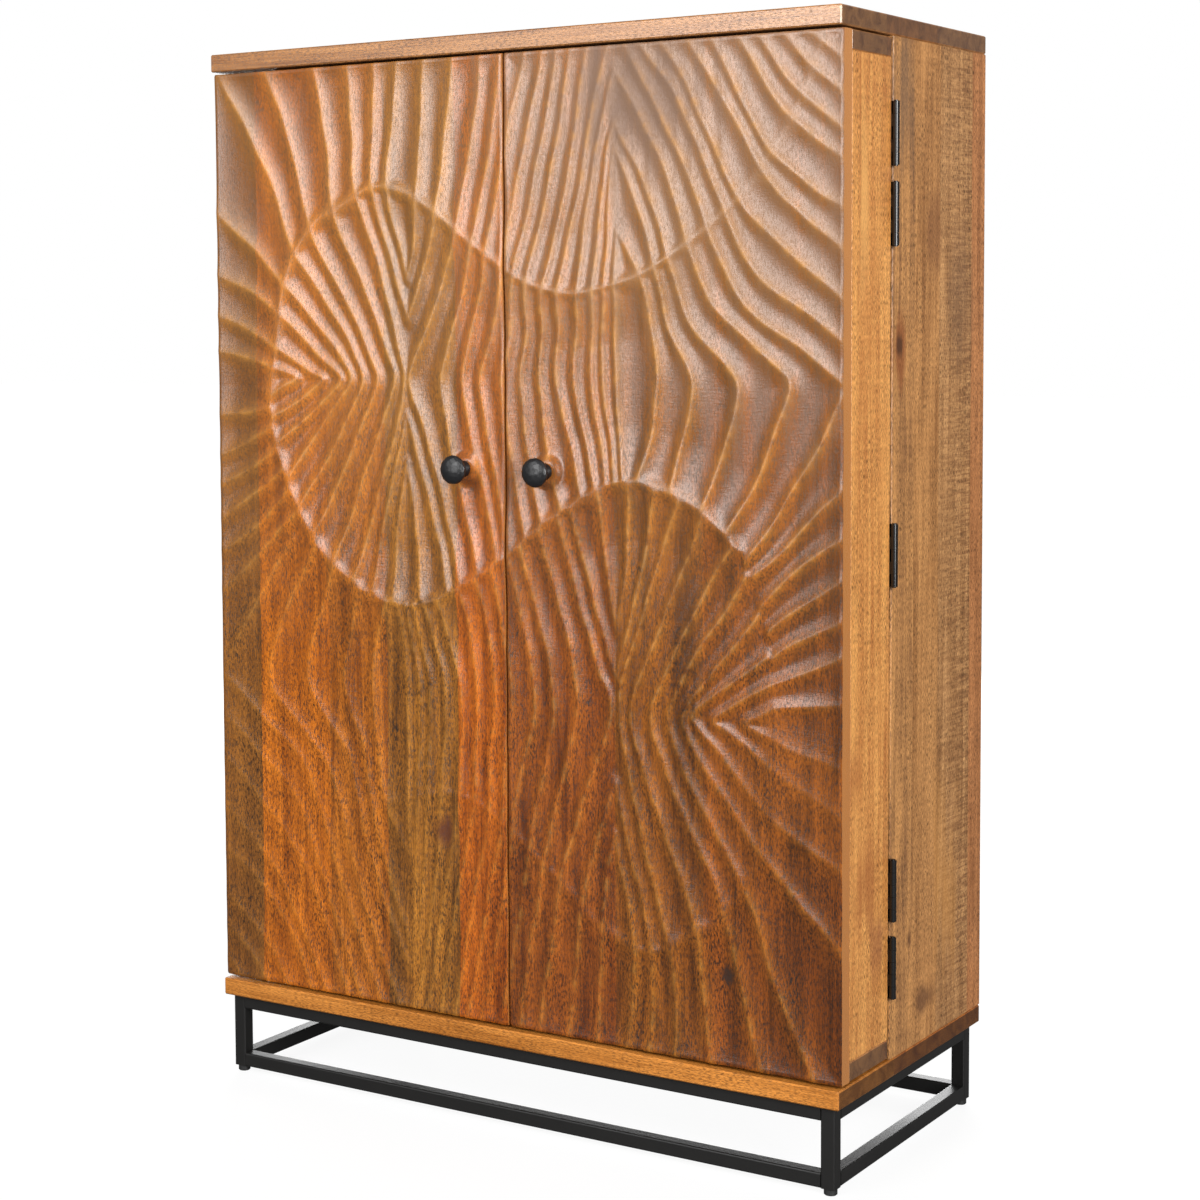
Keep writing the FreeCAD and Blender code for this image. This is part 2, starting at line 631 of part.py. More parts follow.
for word, side in SIDES.items():
    door_low = low_x(side, "meeting_gap / 2", "half_width")
    # Front board, bored for the knob screw and counterbored behind for the screw's head
    front = board(f"{word}_door_front", door_low, "door_face", "door_bottom",
                  "door_width", "door_front_thickness", "door_height", "board_ease")
    knob_across = "knob_from_middle - meeting_gap / 2"
    if side < 0:
        knob_across = f"door_width - ({knob_across})"
    drill(front, "XZ_Plane", "0", [(knob_across, "knob_lift")],
          "knob_screw_diameter + 2 * fastener_clearance", "door_front_thickness")
    drill(front, "XZ_Plane", "-door_front_thickness", [(knob_across, "knob_lift")],
          "knob_screw_head + 2 * fastener_clearance", "knob_screw_head_height + fastener_clearance", True)
    # Top and bottom boards run through to the outer side
    for end, level in (("bottom", "door_bottom"), ("top", "door_top - door_end_thickness")):
        board(f"{word}_door_{end}_board", door_low, "box_front", level,
              "door_width", "box_depth", "door_end_thickness", "board_ease")
    # Side boards between them, grooved for the shelves
    for role, near, far in (("inner", "meeting_gap / 2", "meeting_gap / 2 + door_side_thickness"),
                            ("outer", "half_width - door_side_thickness", "half_width")):
        upright = board(f"{word}_door_{role}_side", low_x(side, near, far), "box_front",
                        "door_bottom + door_end_thickness",
                        "door_side_thickness", "box_depth", "door_inner_height", "board_ease")
        grooved_low = (role == "outer") == (side > 0)
        grooves = new_sketch(upright, "XZ_Plane")
        for level in shelf_levels:
            draw_rectangle(grooves, low_edge(grooved_low, "door_shelf_housing", "door_side_thickness"),
                           level, "door_shelf_housing", "door_shelf_thickness")
        pocket(upright, grooves, "box_depth - shelf_setback")
        if role == "outer":
            mortise = new_sketch(upright, "XZ_Plane", "-box_depth")
            for level in hinge_levels:
                draw_rectangle(mortise, low_edge(not grooved_low, "leaf_cover", "door_side_thickness"),
                               f"{level} - door_bottom - door_end_thickness - hinge_length / 2",
                               "leaf_cover", "hinge_length")
            pocket(upright, mortise, "leaf_mortise", True)
            screw_across = "hinge_screw_inset - pin_axis_out"
            if grooved_low:
                screw_across = f"door_side_thickness - ({screw_across})"
            spots = [(screw_across, f"{level} - door_bottom - door_end_thickness")
                     for level in hinge_screw_levels]
            drill(upright, "XZ_Plane", "-box_depth", spots, "screw_hole",
                  "hinge_screw_length + leaf_mortise", True)
    # Shelves in the grooves and rails that keep bottles in
    shelf = doc.addObject("Part::Box", f"{word}_door_shelf")
    bind(shelf, Length="door_inner_width + 2 * door_shelf_housing", Width="box_depth - shelf_setback",
         Height="door_shelf_thickness")
    inner_low = low_x(side, "meeting_gap / 2 + door_side_thickness", "half_width - door_side_thickness")
    inner_floor = "door_bottom + door_end_thickness"
    group(f"{word}_door_shelves", shelf, [
        (f"{inner_low} - door_shelf_housing", "box_front", f"{inner_floor} + {level}")
        for level in shelf_levels
    ])
    rail = doc.addObject("Part::Box", f"{word}_bottle_rail")
    bind(rail, Length="door_inner_width", Width="bottle_rail_thickness", Height="bottle_rail_height")
    group(f"{word}_door_bottle_rails", rail, [
        (inner_low, "door_rear - shelf_setback - bottle_rail_thickness",
         f"{inner_floor} + {floor} + bottle_rail_lift") for floor in bay_floors
    ])
    # Knob and its screw from inside
    knob_x = f"{side} * knob_from_middle"
    knob(f"{word}_knob", knob_x)
    knob_screw = fuse(f"{word}_knob_screw", [
        round_bar(f"{word}_screw_head", "knob_screw_head", "knob_screw_head_height"),
        round_bar(f"{word}_screw_shank", "knob_screw_diameter", "door_front_thickness + knob_screw_grip"),
    ])
    place(knob_screw, knob_x, "box_front", "knob_centre", FACING_FRONT)
    keep(knob_screw, f"{word}_knob_screw")
    # Strike plate for the magnet, let into the inner side board's rear edge
    inner_side = doc.getObjectsByLabel(f"{word}_door_inner_side")[0]
    strike_level = "floor_level + magnet_level - door_bottom - door_end_thickness"
    drill(inner_side, "XZ_Plane", "-box_depth", [("door_side_thickness / 2", strike_level)],
          "strike_diameter + 2 * fastener_clearance", "strike_thickness", True)
    strike = round_bar(f"{word}_door_strike", "strike_diameter", "strike_thickness")
    place(strike, f"{side} * magnet_across", "door_rear", "floor_level + magnet_level", FACING_FRONT)
    keep(strike, f"{word}_door_strike")


# Steel base of square tube

def tube(label, x, y, z, length, role):
    """A square tube with rounded corners, from its lowest corner along the normal of its section's plane."""
    body = new_body(label, x, y, z)
    section = new_sketch(body, role)
    draw_rectangle(section, "0", "0", "tube_width", "tube_width")
    draw_rectangle(section, "tube_wall", "tube_wall",
                   "tube_width - 2 * tube_wall", "tube_width - 2 * tube_wall")
    blank = pad(body, section, length)
    doc.recompute()
    middle = blank.Shape.CenterOfMass
    reaches = {
        f"Edge{number}": edge.CenterOfMass.distanceToPoint(middle)
        for number, edge in enumerate(blank.Shape.Edges, 1)
        if abs(edge.Length - blank.Length.Value) < LENGTH_TOLERANCE
    }
    outermost = max(reaches.values()) - LENGTH_TOLERANCE
    rounding = body.newObject("PartDesign::Fillet", "Fillet")
    rounding.Base = (blank, [name for name, reach in reaches.items() if reach > outermost])
    bind(rounding, Radius="tube_corner_radius")
    body.Tip = rounding
    return keep(body, label)


ends = {"front": "base_front", "rear": "base_front + base_depth - tube_width"}
flanks = {"left": "-base_width / 2", "right": "base_width / 2 - tube_width"}
heights = {"bottom": "foot_height", "top": "slab_bottom - tube_width"}
for end, y in ends.items():
    for flank, x in flanks.items():
        tube(f"{end}_{flank}_leg", x, y, "foot_height", "base_height", "XY_Plane")
for height, z in heights.items():
    for end, y in ends.items():
        tube(f"base_{end}_{height}_rail", "-base_width / 2 + tube_width", y, z,
             "base_width - 2 * tube_width", "YZ_Plane")
    for flank, x in flanks.items():
        tube(f"base_{flank}_{height}_rail", x, "base_front + base_depth - tube_width", z,
             "base_depth - 2 * tube_width", "XZ_Plane")

# Corner plates between the top rails, screwed up into the bottom slab
corners = [(across, along) for across in SIDES.values() for along in (-1, 1)]
plates = []
for across, along in corners:
    plate = new_body("corner_plate", f"{across} * (base_width / 2 - tube_width)",
                     f"base_middle_y + {along} * (base_depth / 2 - tube_width)",
                     "slab_bottom - corner_plate_thickness")
    outline = new_sketch(plate, "XY_Plane")
    draw_outline(outline, [("0", "0"), (f"{-across} * corner_plate_leg", "0"),
                           ("0", f"{-along} * corner_plate_leg")])
    pad(plate, outline, "corner_plate_thickness")
    drill(plate, "XY_Plane", "0", [(f"{-across} * corner_hole_inset", f"{-along} * corner_hole_inset")],
          "base_screw_diameter + 2 * fastener_clearance", None)
    plates.append(plate)
corner_plates = doc.addObject("Part::Compound", "base_corner_plates")
corner_plates.Links = plates
keep(corner_plates, "base_corner_plates")

screw_spots = [
    (f"{across} * (base_width / 2 - tube_width - corner_hole_inset)",
     f"base_middle_y + {along} * (base_depth / 2 - tube_width - corner_hole_inset)")
    for across, along in corners
]
drill(bottom_panel, "XY_Plane", "0", [(f"{x} + half_width", f"{y} - slab_front") for x, y in screw_spots],
      "base_screw_diameter + 2 * fastener_clearance",
      "base_screw_length - corner_plate_thickness + fastener_clearance", True)
base_screw = fuse("base_screw", [
    round_bar("base_screw_cap", "base_screw_head", "base_screw_head_height", "-base_screw_head_height"),
    round_bar("base_screw_shank", "base_screw_diameter", "base_screw_length"),
])
group("base_screws", base_screw, [(x, y, "slab_bottom - corner_plate_thickness") for x, y in screw_spots])

# Levelling feet: a pad on a stud that turns in an insert in the leg's end
insert = new_body("leg_insert", "0", "0", "0")
insert_section = new_sketch(insert, "XY_Plane")
insert_width = "tube_width - 2 * tube_wall - 2 * insert_clearance"
draw_rectangle(insert_section, f"-({insert_width}) / 2", f"-({insert_width}) / 2", insert_width, insert_width)
pad(insert, insert_section, "insert_height")
drill(insert, "XY_Plane", "0", [("0", "0")], "stud_diameter + 2 * stud_clearance", None)
leg_spots = {
    f"{end}_{flank}": (f"{across} * leg_centre_x", f"base_middle_y + {along} * leg_centre_y")
    for flank, across in SIDES.items() for end, along in (("front", -1), ("rear", 1))
}
group("leg_inserts", insert, [(x, y, "foot_height") for x, y in leg_spots.values()])
for corner, (x, y) in leg_spots.items():
    label = f"{corner}_foot"
    foot = fuse(label, [
        round_bar(label + "_rim", "foot_diameter - 2 * foot_chamfer", "foot_chamfer", "0", "foot_diameter"),
        round_bar(label + "_pad", "foot_diameter", "foot_height - foot_gap - foot_chamfer", "foot_chamfer"),
        round_bar(label + "_stud", "stud_diameter", "stud_length", "foot_height - foot_gap"),
    ])
    place(foot, x, y, "0")
    keep(foot, label)

# Build, prove every piece sound, and write the files
doc.recompute()
for thing in doc.Objects:
    if "Invalid" in thing.State or "Error" in thing.State:
        raise RuntimeError(f"{thing.Label} did not build: {thing.State}")
    if thing.TypeId == "PartDesign::Pocket" and thing.Shape.Volume >= thing.BaseFeature.Shape.Volume:
        raise RuntimeError(f"{thing.Label} cuts nothing from {thing.getParentGeoFeatureGroup().Label}")
os.makedirs("parts", exist_ok=True)
for thing in nodes:
    if thing.Shape.isNull() or not thing.Shape.isValid():
        raise RuntimeError(f"{thing.Label} has no sound shape")
    thing.Shape.exportStep(f"parts/{thing.Label}.step")
    print(thing.Label, len(thing.Shape.Solids), round(thing.Shape.Volume))
print(len(nodes), "nodes")
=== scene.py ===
# %% [markdown]
# # A bar cabinet with carved doors
#
# The cabinet is a mango-wood box on a black steel base. Its two doors are deep boxes whose fronts are
# carved with flutes that fan out, meet in points and cross two long S-shaped ridges. This lesson loads the
# measured model, gives each piece its finish, carves the two fronts, hammers the two knobs and lights it
# all as a plain studio photograph. The model's stand-in materials are taken off first. Their names are
# kept, because they tell which finish each piece gets.

# %% Start
import math

import bpy
import numpy as np
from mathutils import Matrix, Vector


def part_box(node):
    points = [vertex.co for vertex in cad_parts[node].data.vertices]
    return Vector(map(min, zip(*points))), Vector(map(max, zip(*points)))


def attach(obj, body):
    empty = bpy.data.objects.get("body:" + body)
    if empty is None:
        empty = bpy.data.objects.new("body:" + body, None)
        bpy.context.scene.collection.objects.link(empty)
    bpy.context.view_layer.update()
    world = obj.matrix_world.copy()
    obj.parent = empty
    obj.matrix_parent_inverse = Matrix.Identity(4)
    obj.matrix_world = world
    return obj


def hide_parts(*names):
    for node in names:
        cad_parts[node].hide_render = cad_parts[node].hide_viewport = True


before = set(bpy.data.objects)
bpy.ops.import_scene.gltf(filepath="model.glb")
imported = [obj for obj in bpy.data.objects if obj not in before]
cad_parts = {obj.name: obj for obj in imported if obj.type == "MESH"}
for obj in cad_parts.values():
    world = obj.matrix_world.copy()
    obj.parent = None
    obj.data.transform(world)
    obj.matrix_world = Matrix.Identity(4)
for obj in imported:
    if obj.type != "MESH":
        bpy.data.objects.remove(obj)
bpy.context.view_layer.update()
bpy.ops.object.select_all(action="DESELECT")

MM = 0.001
SLOTS = {name: node.data.materials[0].name for name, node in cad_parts.items()}
for name in sorted(set(SLOTS.values())):
    bpy.data.materials.remove(bpy.data.materials[name])

# %% [markdown]
# ## Small helpers
#
# Colours are written as the hex values seen on a screen, so one function turns them into linear light.
# One more function adds a node to a material and joins its sockets, so that every finish below reads as a
# short list of steps. Sockets can be named by number: a Map Range takes its value, the range it comes from
# and the range it goes to as 0 to 4, and a colour Mix takes its share as 0 and its two colours as 6 and 7.


# %% Helpers
def linear(hex_colour):
    """A screen colour such as #b07a3c as the linear values a shader works with."""
    channels = [int(hex_colour[place:place + 2], 16) / 255 for place in (1, 3, 5)]
    return [c / 12.92 if c <= 0.04045 else ((c + 0.055) / 1.055) ** 2.4 for c in channels] + [1]


def grey(value):
    """A neutral colour of the given linear value."""
    return (value, value, value, 1)


def add_node(tree, kind, sockets=None, stops=(), **settings):
    """A shader node with its settings: a socket is joined or set to a value, and stops fill a ramp."""
    node = tree.nodes.new(f"ShaderNode{kind}")
    for name, value in settings.items():
        setattr(node, name, value)
    for key, value in (sockets or {}).items():
        if isinstance(value, bpy.types.NodeSocket):
            tree.links.new(value, node.inputs[key])
        else:
            node.inputs[key].default_value = value
    for number, (place, colour) in enumerate(stops):
        elements = node.color_ramp.elements
        element = elements[number] if number < len(elements) else elements.new(place)
        element.position = place
        element.color = colour
    return node


def new_material(name):
    """An empty material with its node tree and its shader."""
    material = bpy.data.materials.new(name)
    material.use_nodes = True
    return material, material.node_tree, material.node_tree.nodes["Principled BSDF"]


print("honey wood in linear light", [round(value, 3) for value in linear("#b07a3c")])

# %% [markdown]
# ## Boards
#
# Mango wood is honey to brown, and no two boards have the same tone. The panels are glued from boards of
# different width, so a stepped ramp across the panel gives each board a dark and a light tone. Each board
# also reads its grain from another place, so that no streak runs on from one board into the next.

# %% Boards
# Width that the ramp covers, and how far apart in metres the first and last board would read their grain
WIDEST_PANEL = 0.8
BOARD_SHIFT = (3, 5, 7)


def board_tones(tree, place, tones, axis):
    """Dark and light tone of the board at each place, and the place where it reads its grain."""
    axes = add_node(tree, "SeparateXYZ", {0: place})
    low = tones[0][0] * MM
    across = add_node(tree, "MapRange", {0: axes.outputs[axis], 1: low, 2: low + WIDEST_PANEL}).outputs[0]
    starts = [(start * MM - low) / WIDEST_PANEL for start, _, _ in tones]
    numbers = [grey(number / len(tones)) for number in range(len(tones))]
    darks = [linear(dark) for _, dark, _ in tones]
    lights = [linear(light) for _, _, light in tones]
    steps = []
    for colours in (darks, lights, numbers):
        step = add_node(tree, "ValToRGB", {"Fac": across}, stops=list(zip(starts, colours)))
        step.color_ramp.interpolation = "CONSTANT"
        steps.append(step.outputs["Color"])
    dark, light, number = steps
    shift = add_node(tree, "VectorMath", {0: number, 1: BOARD_SHIFT}, operation="MULTIPLY")
    own_place = add_node(tree, "VectorMath", {0: place, 1: shift.outputs[0]}, operation="ADD")
    return dark, light, own_place.outputs[0]


# %% [markdown]
# ## Grain
#
# The figure of the wood has three parts: broad streaks, fine lines along the grain and a faint curl across
# it. Each is a noise divided by its real size across and along the grain. The pores are short dark dashes,
# crowded in some places and few in others.

# %% Grain
STREAK = (15 * MM, 280 * MM)
LINE = (1.5 * MM, 80 * MM)
CURL = (60 * MM, 9 * MM)
# A real pore is 0.3 mm wide, too fine for the picture, so it is drawn about three times as wide
PORE = (1.0 * MM, 5 * MM)
CROWD = (30 * MM, 90 * MM)
NOISE_ROUGHNESS = 0.58
# Parts of the figure that lines and streaks make up, and the range of it that goes from dark to light
LINE_SHARE = 0.42
STREAK_SHARE = 0.78
FIGURE_RANGE = (0.45, 0.74)
# How dark the pores are, and the share of them that is left where they are few
PORE_STOPS = [(0.39, grey(0.06)), (0.55, grey(1))]
CROWD_RANGE = (0.3, 0.7)
FEWEST_PORES = 0.55


def stretched(tree, place, size, grain):
    """The place divided by a pattern's size across and along the grain."""
    scale = [1 / size[1] if axis == grain else 1 / size[0] for axis in "XYZ"]
    return add_node(tree, "VectorMath", {0: place, 1: scale}, operation="MULTIPLY").outputs[0]


def grain_pattern(tree, place, size, grain, detail, distortion=0.0):
    """Noise of a real size across and along the grain."""
    return add_node(tree, "TexNoise", {
        "Vector": stretched(tree, place, size, grain), "Scale": 1, "Detail": detail,
        "Roughness": NOISE_ROUGHNESS, "Distortion": distortion}).outputs["Fac"]


def grained(tree, place, grain, dark, light, curl, pore_share):
    """Colour of the wood between its dark and light tone, and the pores as a height."""
    lines = grain_pattern(tree, place, LINE, grain, detail=4, distortion=0.3)
    curls = grain_pattern(tree, place, CURL, grain, detail=2)
    streaks = grain_pattern(tree, place, STREAK, grain, detail=3, distortion=0.8)
    figure = add_node(tree, "Math", {0: lines, 1: LINE_SHARE}, operation="MULTIPLY").outputs[0]
    figure = add_node(tree, "Math", {0: curls, 1: curl, 2: figure}, operation="MULTIPLY_ADD").outputs[0]
    figure = add_node(tree, "Math", {0: streaks, 1: STREAK_SHARE - curl, 2: figure},
                      operation="MULTIPLY_ADD").outputs[0]
    tone = add_node(tree, "MapRange", {0: figure, 1: FIGURE_RANGE[0], 2: FIGURE_RANGE[1]}).outputs[0]
    colour = add_node(tree, "Mix", {0: tone, 6: dark, 7: light}, data_type="RGBA").outputs[2]
    pores = grain_pattern(tree, place, PORE, grain, detail=2)
    crowd = grain_pattern(tree, place, CROWD, grain, detail=2)
    crowd = add_node(tree, "MapRange",
                     {0: crowd, 1: CROWD_RANGE[0], 2: CROWD_RANGE[1],
                      3: FEWEST_PORES * pore_share, 4: pore_share}).outputs[0]
    flecks = add_node(tree, "ValToRGB", {"Fac": pores}, stops=PORE_STOPS).outputs["Color"]
    colour = add_node(tree, "Mix", {0: crowd, 6: colour, 7: flecks}, data_type="RGBA",
                      blend_type="MULTIPLY").outputs[2]
    return colour, pores


print("streaks are", round(STREAK[0] / MM), "by", round(STREAK[1] / MM), "mm")

# %% [markdown]
# ## Ripples and spots
#
# One board in each side has dark ripples across its grain, stronger towards the rear. Knots, clouds,
# weathered places and one place of painted shade are ovals with ragged rims, each with its own tone, and
# they also dull the lacquer. The faces that look to the rear, such as the insides of the fronts, are left
# clean.

# %% Ripples and spots
RIPPLE = (30 * MM, 2.8 * MM)
RIPPLE_RANGE = (0.6, 0.38)
RIPPLE_SHARE = 0.7
RIPPLE_START = 0.4
RIPPLE_TONE = "#a08a7c"
# How far a spot's rim strays, and where it ends and is full, as parts of its half size
RAGGED = 2.5
SPOT_END = 1.0
SPOT_FULL = 0.3
# A face counts as a rear one from this much of its direction on
REARWARD = (0.5, 0.4)


def rippled(tree, place, colour, across, start, end):
    """The colour with dark ripples across the grain, between two places across the panel."""
    middle = (start + end) / 2 * MM
    half_width = (end - start) / 2 * MM
    inside = add_node(tree, "Math", {0: across, 1: middle, 2: half_width}, operation="COMPARE").outputs[0]
    ripple = grain_pattern(tree, place, RIPPLE, "Z", detail=2, distortion=0.4)
    ripple = add_node(tree, "MapRange",
                      {0: ripple, 1: RIPPLE_RANGE[0], 2: RIPPLE_RANGE[1], 4: RIPPLE_SHARE}).outputs[0]
    share = add_node(tree, "Math", {0: inside, 1: ripple}, operation="MULTIPLY").outputs[0]
    growing = add_node(tree, "MapRange",
                       {0: across, 1: start * MM, 2: end * MM, 3: RIPPLE_START}).outputs[0]
    share = add_node(tree, "Math", {0: share, 1: growing}, operation="MULTIPLY").outputs[0]
    return add_node(tree, "Mix", {0: share, 6: colour, 7: linear(RIPPLE_TONE)}, data_type="RGBA",
                    blend_type="MULTIPLY").outputs[2]


def spotted(tree, coordinates, colour, matt, across, spots):
    """Colour and roughness with oval spots, ragged along the grain, on all but the rear faces."""
    place = coordinates.outputs["Object"]
    rearward = add_node(tree, "SeparateXYZ", {0: coordinates.outputs["Normal"]}).outputs["Y"]
    shown = add_node(tree, "MapRange", {0: rearward, 1: REARWARD[0], 2: REARWARD[1]}).outputs[0]
    up = add_node(tree, "SeparateXYZ", {0: place}).outputs["Z"]
    flat = add_node(tree, "CombineXYZ", {"X": across, "Z": up}).outputs[0]
    ragged = grain_pattern(tree, place, STREAK, "Z", detail=3)
    for middle, half_size, hex_colour, share, dull in spots:
        spot_place = (middle[0] * MM, 0, middle[1] * MM)
        spot_scale = (1 / (half_size[0] * MM), 0, 1 / (half_size[1] * MM))
        away = add_node(tree, "VectorMath", {0: flat, 1: spot_place}, operation="SUBTRACT").outputs[0]
        away = add_node(tree, "VectorMath", {0: away, 1: spot_scale}, operation="MULTIPLY").outputs[0]
        far = add_node(tree, "VectorMath", {0: away}, operation="LENGTH").outputs["Value"]
        far = add_node(tree, "Math", {0: ragged, 1: RAGGED, 2: far}, operation="MULTIPLY_ADD").outputs[0]
        mask = add_node(tree, "MapRange",
                        {0: far, 1: RAGGED / 2 + SPOT_END, 2: RAGGED / 2 + SPOT_FULL, 4: share}).outputs[0]
        mask = add_node(tree, "Math", {0: mask, 1: shown}, operation="MULTIPLY").outputs[0]
        colour = add_node(tree, "Mix", {0: mask, 6: colour, 7: linear(hex_colour)},
                          data_type="RGBA").outputs[2]
        matt = add_node(tree, "Math", {0: mask, 1: dull, 2: matt}, operation="MULTIPLY_ADD").outputs[0]
    return colour, matt


print("ripples are", round(RIPPLE[1] / MM, 1), "mm apart along the grain")

# %% [markdown]
# ## What carving does to the surface
#
# The carver leaves fine gouge marks across the flutes, and wear rubs the crests back to golden wood. The
# hollows are painted darker, partly as painted shade and partly as stain gathered there. The carved mesh
# carries two values for this, named crest and hollow. The upper part of the doors is painted paler as a
# painted haze of sheen, and wear is stronger there. The thin edge of a front was stained less.

# %% Carved surface
GOUGE_MARK = (8 * MM, 2.0 * MM)
MARK_BUMP = 0.4
MARK_DEPTH = 0.3 * MM
# Painted haze of sheen: paler wood between two heights in metres
SHEEN_HAZE_TONE = "#b8864e"
SHEEN_HAZE_HEIGHTS = (0.5, 0.95)
SHEEN_HAZE_SHARE = 0.35
# Painted shade in the hollows, partly also stain gathered there
SHADE_AND_STAIN_TONE = "#8e6040"
SHADE_AND_STAIN_SHARE = 0.6
# Rubbed crests: patches of this length, more of them between two heights in metres
RUBBED_TONE = "#c88a34"
RUB_LENGTH = 14 * MM
RUB_RANGE = (0.4, 0.65)
RUB_SHARE = 0.34
WORN_HEIGHTS = (0.45, 0.8)
WORN_MOST = 1.7
CREST_MATT = 0.4
# The thin edges of a front
EDGE_TONE = "#bc7c40"
EDGE_FACING = (0.9, 0.95)
EDGE_STAIN = 0.75


def carved_surface(tree, coordinates, colour, matt, bump):
    """Colour, roughness and bump with gouge marks, a painted haze of sheen higher up, hollows
    darkened by painted shade and stain, rubbed crests and pale edges.
    """
    place = coordinates.outputs["Object"]
    height = add_node(tree, "SeparateXYZ", {0: place}).outputs["Z"]
    # Painted haze of sheen: the colour turns paler towards the top
    sheen_haze = add_node(tree, "MapRange",
                     {0: height, 1: SHEEN_HAZE_HEIGHTS[0], 2: SHEEN_HAZE_HEIGHTS[1], 4: SHEEN_HAZE_SHARE}).outputs[0]
    colour = add_node(tree, "Mix", {0: sheen_haze, 6: colour, 7: linear(SHEEN_HAZE_TONE)},
                      data_type="RGBA").outputs[2]
    # Painted shade in the hollows, partly stain: the deeper the cut, the darker the colour
    hollow = add_node(tree, "Attribute", attribute_name="hollow").outputs["Fac"]
    hollow = add_node(tree, "Math", {0: hollow, 1: SHADE_AND_STAIN_SHARE}, operation="MULTIPLY").outputs[0]
    colour = add_node(tree, "Mix", {0: hollow, 6: colour, 7: linear(SHADE_AND_STAIN_TONE)},
                      data_type="RGBA", blend_type="MULTIPLY").outputs[2]
    crest = add_node(tree, "Attribute", attribute_name="crest").outputs["Fac"]
    rub = add_node(tree, "TexNoise",
                   {"Vector": place, "Scale": 1 / RUB_LENGTH, "Detail": 4}).outputs["Fac"]
    rub = add_node(tree, "MapRange", {0: rub, 1: RUB_RANGE[0], 2: RUB_RANGE[1], 4: RUB_SHARE}).outputs[0]
    worn = add_node(tree, "MapRange",
                    {0: height, 1: WORN_HEIGHTS[0], 2: WORN_HEIGHTS[1], 3: 1, 4: WORN_MOST}).outputs[0]
    rub = add_node(tree, "Math", {0: rub, 1: worn}, operation="MULTIPLY").outputs[0]
    rubbed = add_node(tree, "Math", {0: crest, 1: rub}, operation="MULTIPLY").outputs[0]
    matt = add_node(tree, "Math", {0: rubbed, 1: CREST_MATT, 2: matt},
                    operation="MULTIPLY_ADD").outputs[0]
    colour = add_node(tree, "Mix", {0: rubbed, 6: colour, 7: linear(RUBBED_TONE)},
                      data_type="RGBA").outputs[2]
    sideways = add_node(tree, "SeparateXYZ", {0: coordinates.outputs["Normal"]}).outputs["X"]
    sideways = add_node(tree, "Math", {0: sideways}, operation="ABSOLUTE").outputs[0]
    edge = add_node(tree, "MapRange",
                    {0: sideways, 1: EDGE_FACING[0], 2: EDGE_FACING[1], 4: EDGE_STAIN}).outputs[0]
    colour = add_node(tree, "Mix", {0: edge, 6: colour, 7: linear(EDGE_TONE)},
                      data_type="RGBA").outputs[2]
    marks = grain_pattern(tree, place, GOUGE_MARK, "Z", detail=2)
    bump = add_node(tree, "Bump", {"Strength": MARK_BUMP, "Distance": MARK_DEPTH, "Height": marks,
                                   "Normal": bump.outputs[0]})
    return colour, matt, bump


print("gouge marks are", round(GOUGE_MARK[1] / MM, 1), "mm apart")

# %% [markdown]
# ## Lacquered wood
#
# All the wood has a thin satin lacquer, so it is one shader whose gloss is a little duller in the pores.
# Where a board's end shows, the open pores take up more stain and look darker. The grain runs up the doors
# and sides, along the slabs and shelves, and from front to back on the stemware slats.

# %% Wood finishes
PORE_RANGE = (0.35, 0.55)
PORE_MATT = 0.2
PORE_BUMP = 0.45
PORE_DEPTH = 0.3 * MM
END_TONE = "#747474"
END_FACING = (0.7, 0.8)


def wood(name, grain, tones, planks_axis="X", roughness=0.32, gloss=0.3, curl=0.1, end_share=0.6,
         pore_share=0.7, ripple=(), spots=(), carved=False):
    """Lacquered wood. tones lists (start in mm, dark hex, light hex) of the boards across planks_axis."""
    material, tree, shader = new_material(name)
    coordinates = add_node(tree, "TexCoord")
    place = coordinates.outputs["Object"]
    dark, light, own_place = board_tones(tree, place, tones, planks_axis)
    colour, pores = grained(tree, own_place, grain, dark, light, curl, pore_share)
    facing = add_node(tree, "SeparateXYZ", {0: coordinates.outputs["Normal"]}).outputs[grain]
    facing = add_node(tree, "Math", {0: facing}, operation="ABSOLUTE").outputs[0]
    ends = add_node(tree, "MapRange",
                    {0: facing, 1: END_FACING[0], 2: END_FACING[1], 4: end_share}).outputs[0]
    colour = add_node(tree, "Mix", {0: ends, 6: colour, 7: linear(END_TONE)}, data_type="RGBA",
                      blend_type="MULTIPLY").outputs[2]
    across = add_node(tree, "SeparateXYZ", {0: place}).outputs[planks_axis]
    matt = add_node(tree, "MapRange",
                    {0: pores, 1: PORE_RANGE[0], 2: PORE_RANGE[1],
                     3: roughness + PORE_MATT, 4: roughness}).outputs[0]
    if ripple:
        colour = rippled(tree, own_place, colour, across, *ripple)
    if spots:
        colour, matt = spotted(tree, coordinates, colour, matt, across, spots)
    bump = add_node(tree, "Bump",
                    {"Strength": pore_share * PORE_BUMP, "Distance": PORE_DEPTH, "Height": pores})
    if carved:
        colour, matt, bump = carved_surface(tree, coordinates, colour, matt, bump)
    tree.links.new(colour, shader.inputs["Base Color"])
    tree.links.new(bump.outputs[0], shader.inputs["Normal"])
    tree.links.new(matt, shader.inputs["Roughness"])
    shader.inputs["Specular IOR Level"].default_value = gloss
    return material


# Door fronts: boards about 80 to 120 mm wide, from brown to red-orange
FRONT_BOARDS = [
    (-400, "#754719", "#9f6526"), (-344, "#914909", "#d6781c"), (-244, "#84450b", "#c97521"),
    (-164, "#6a4014", "#b67528"), (-68, "#863e06", "#ce6d1b"), (0, "#6a3309", "#ad5f1e"),
    (132, "#5e330b", "#a5611d"), (240, "#683809", "#a75d1c"), (320, "#5e3209", "#9d5719"),
]
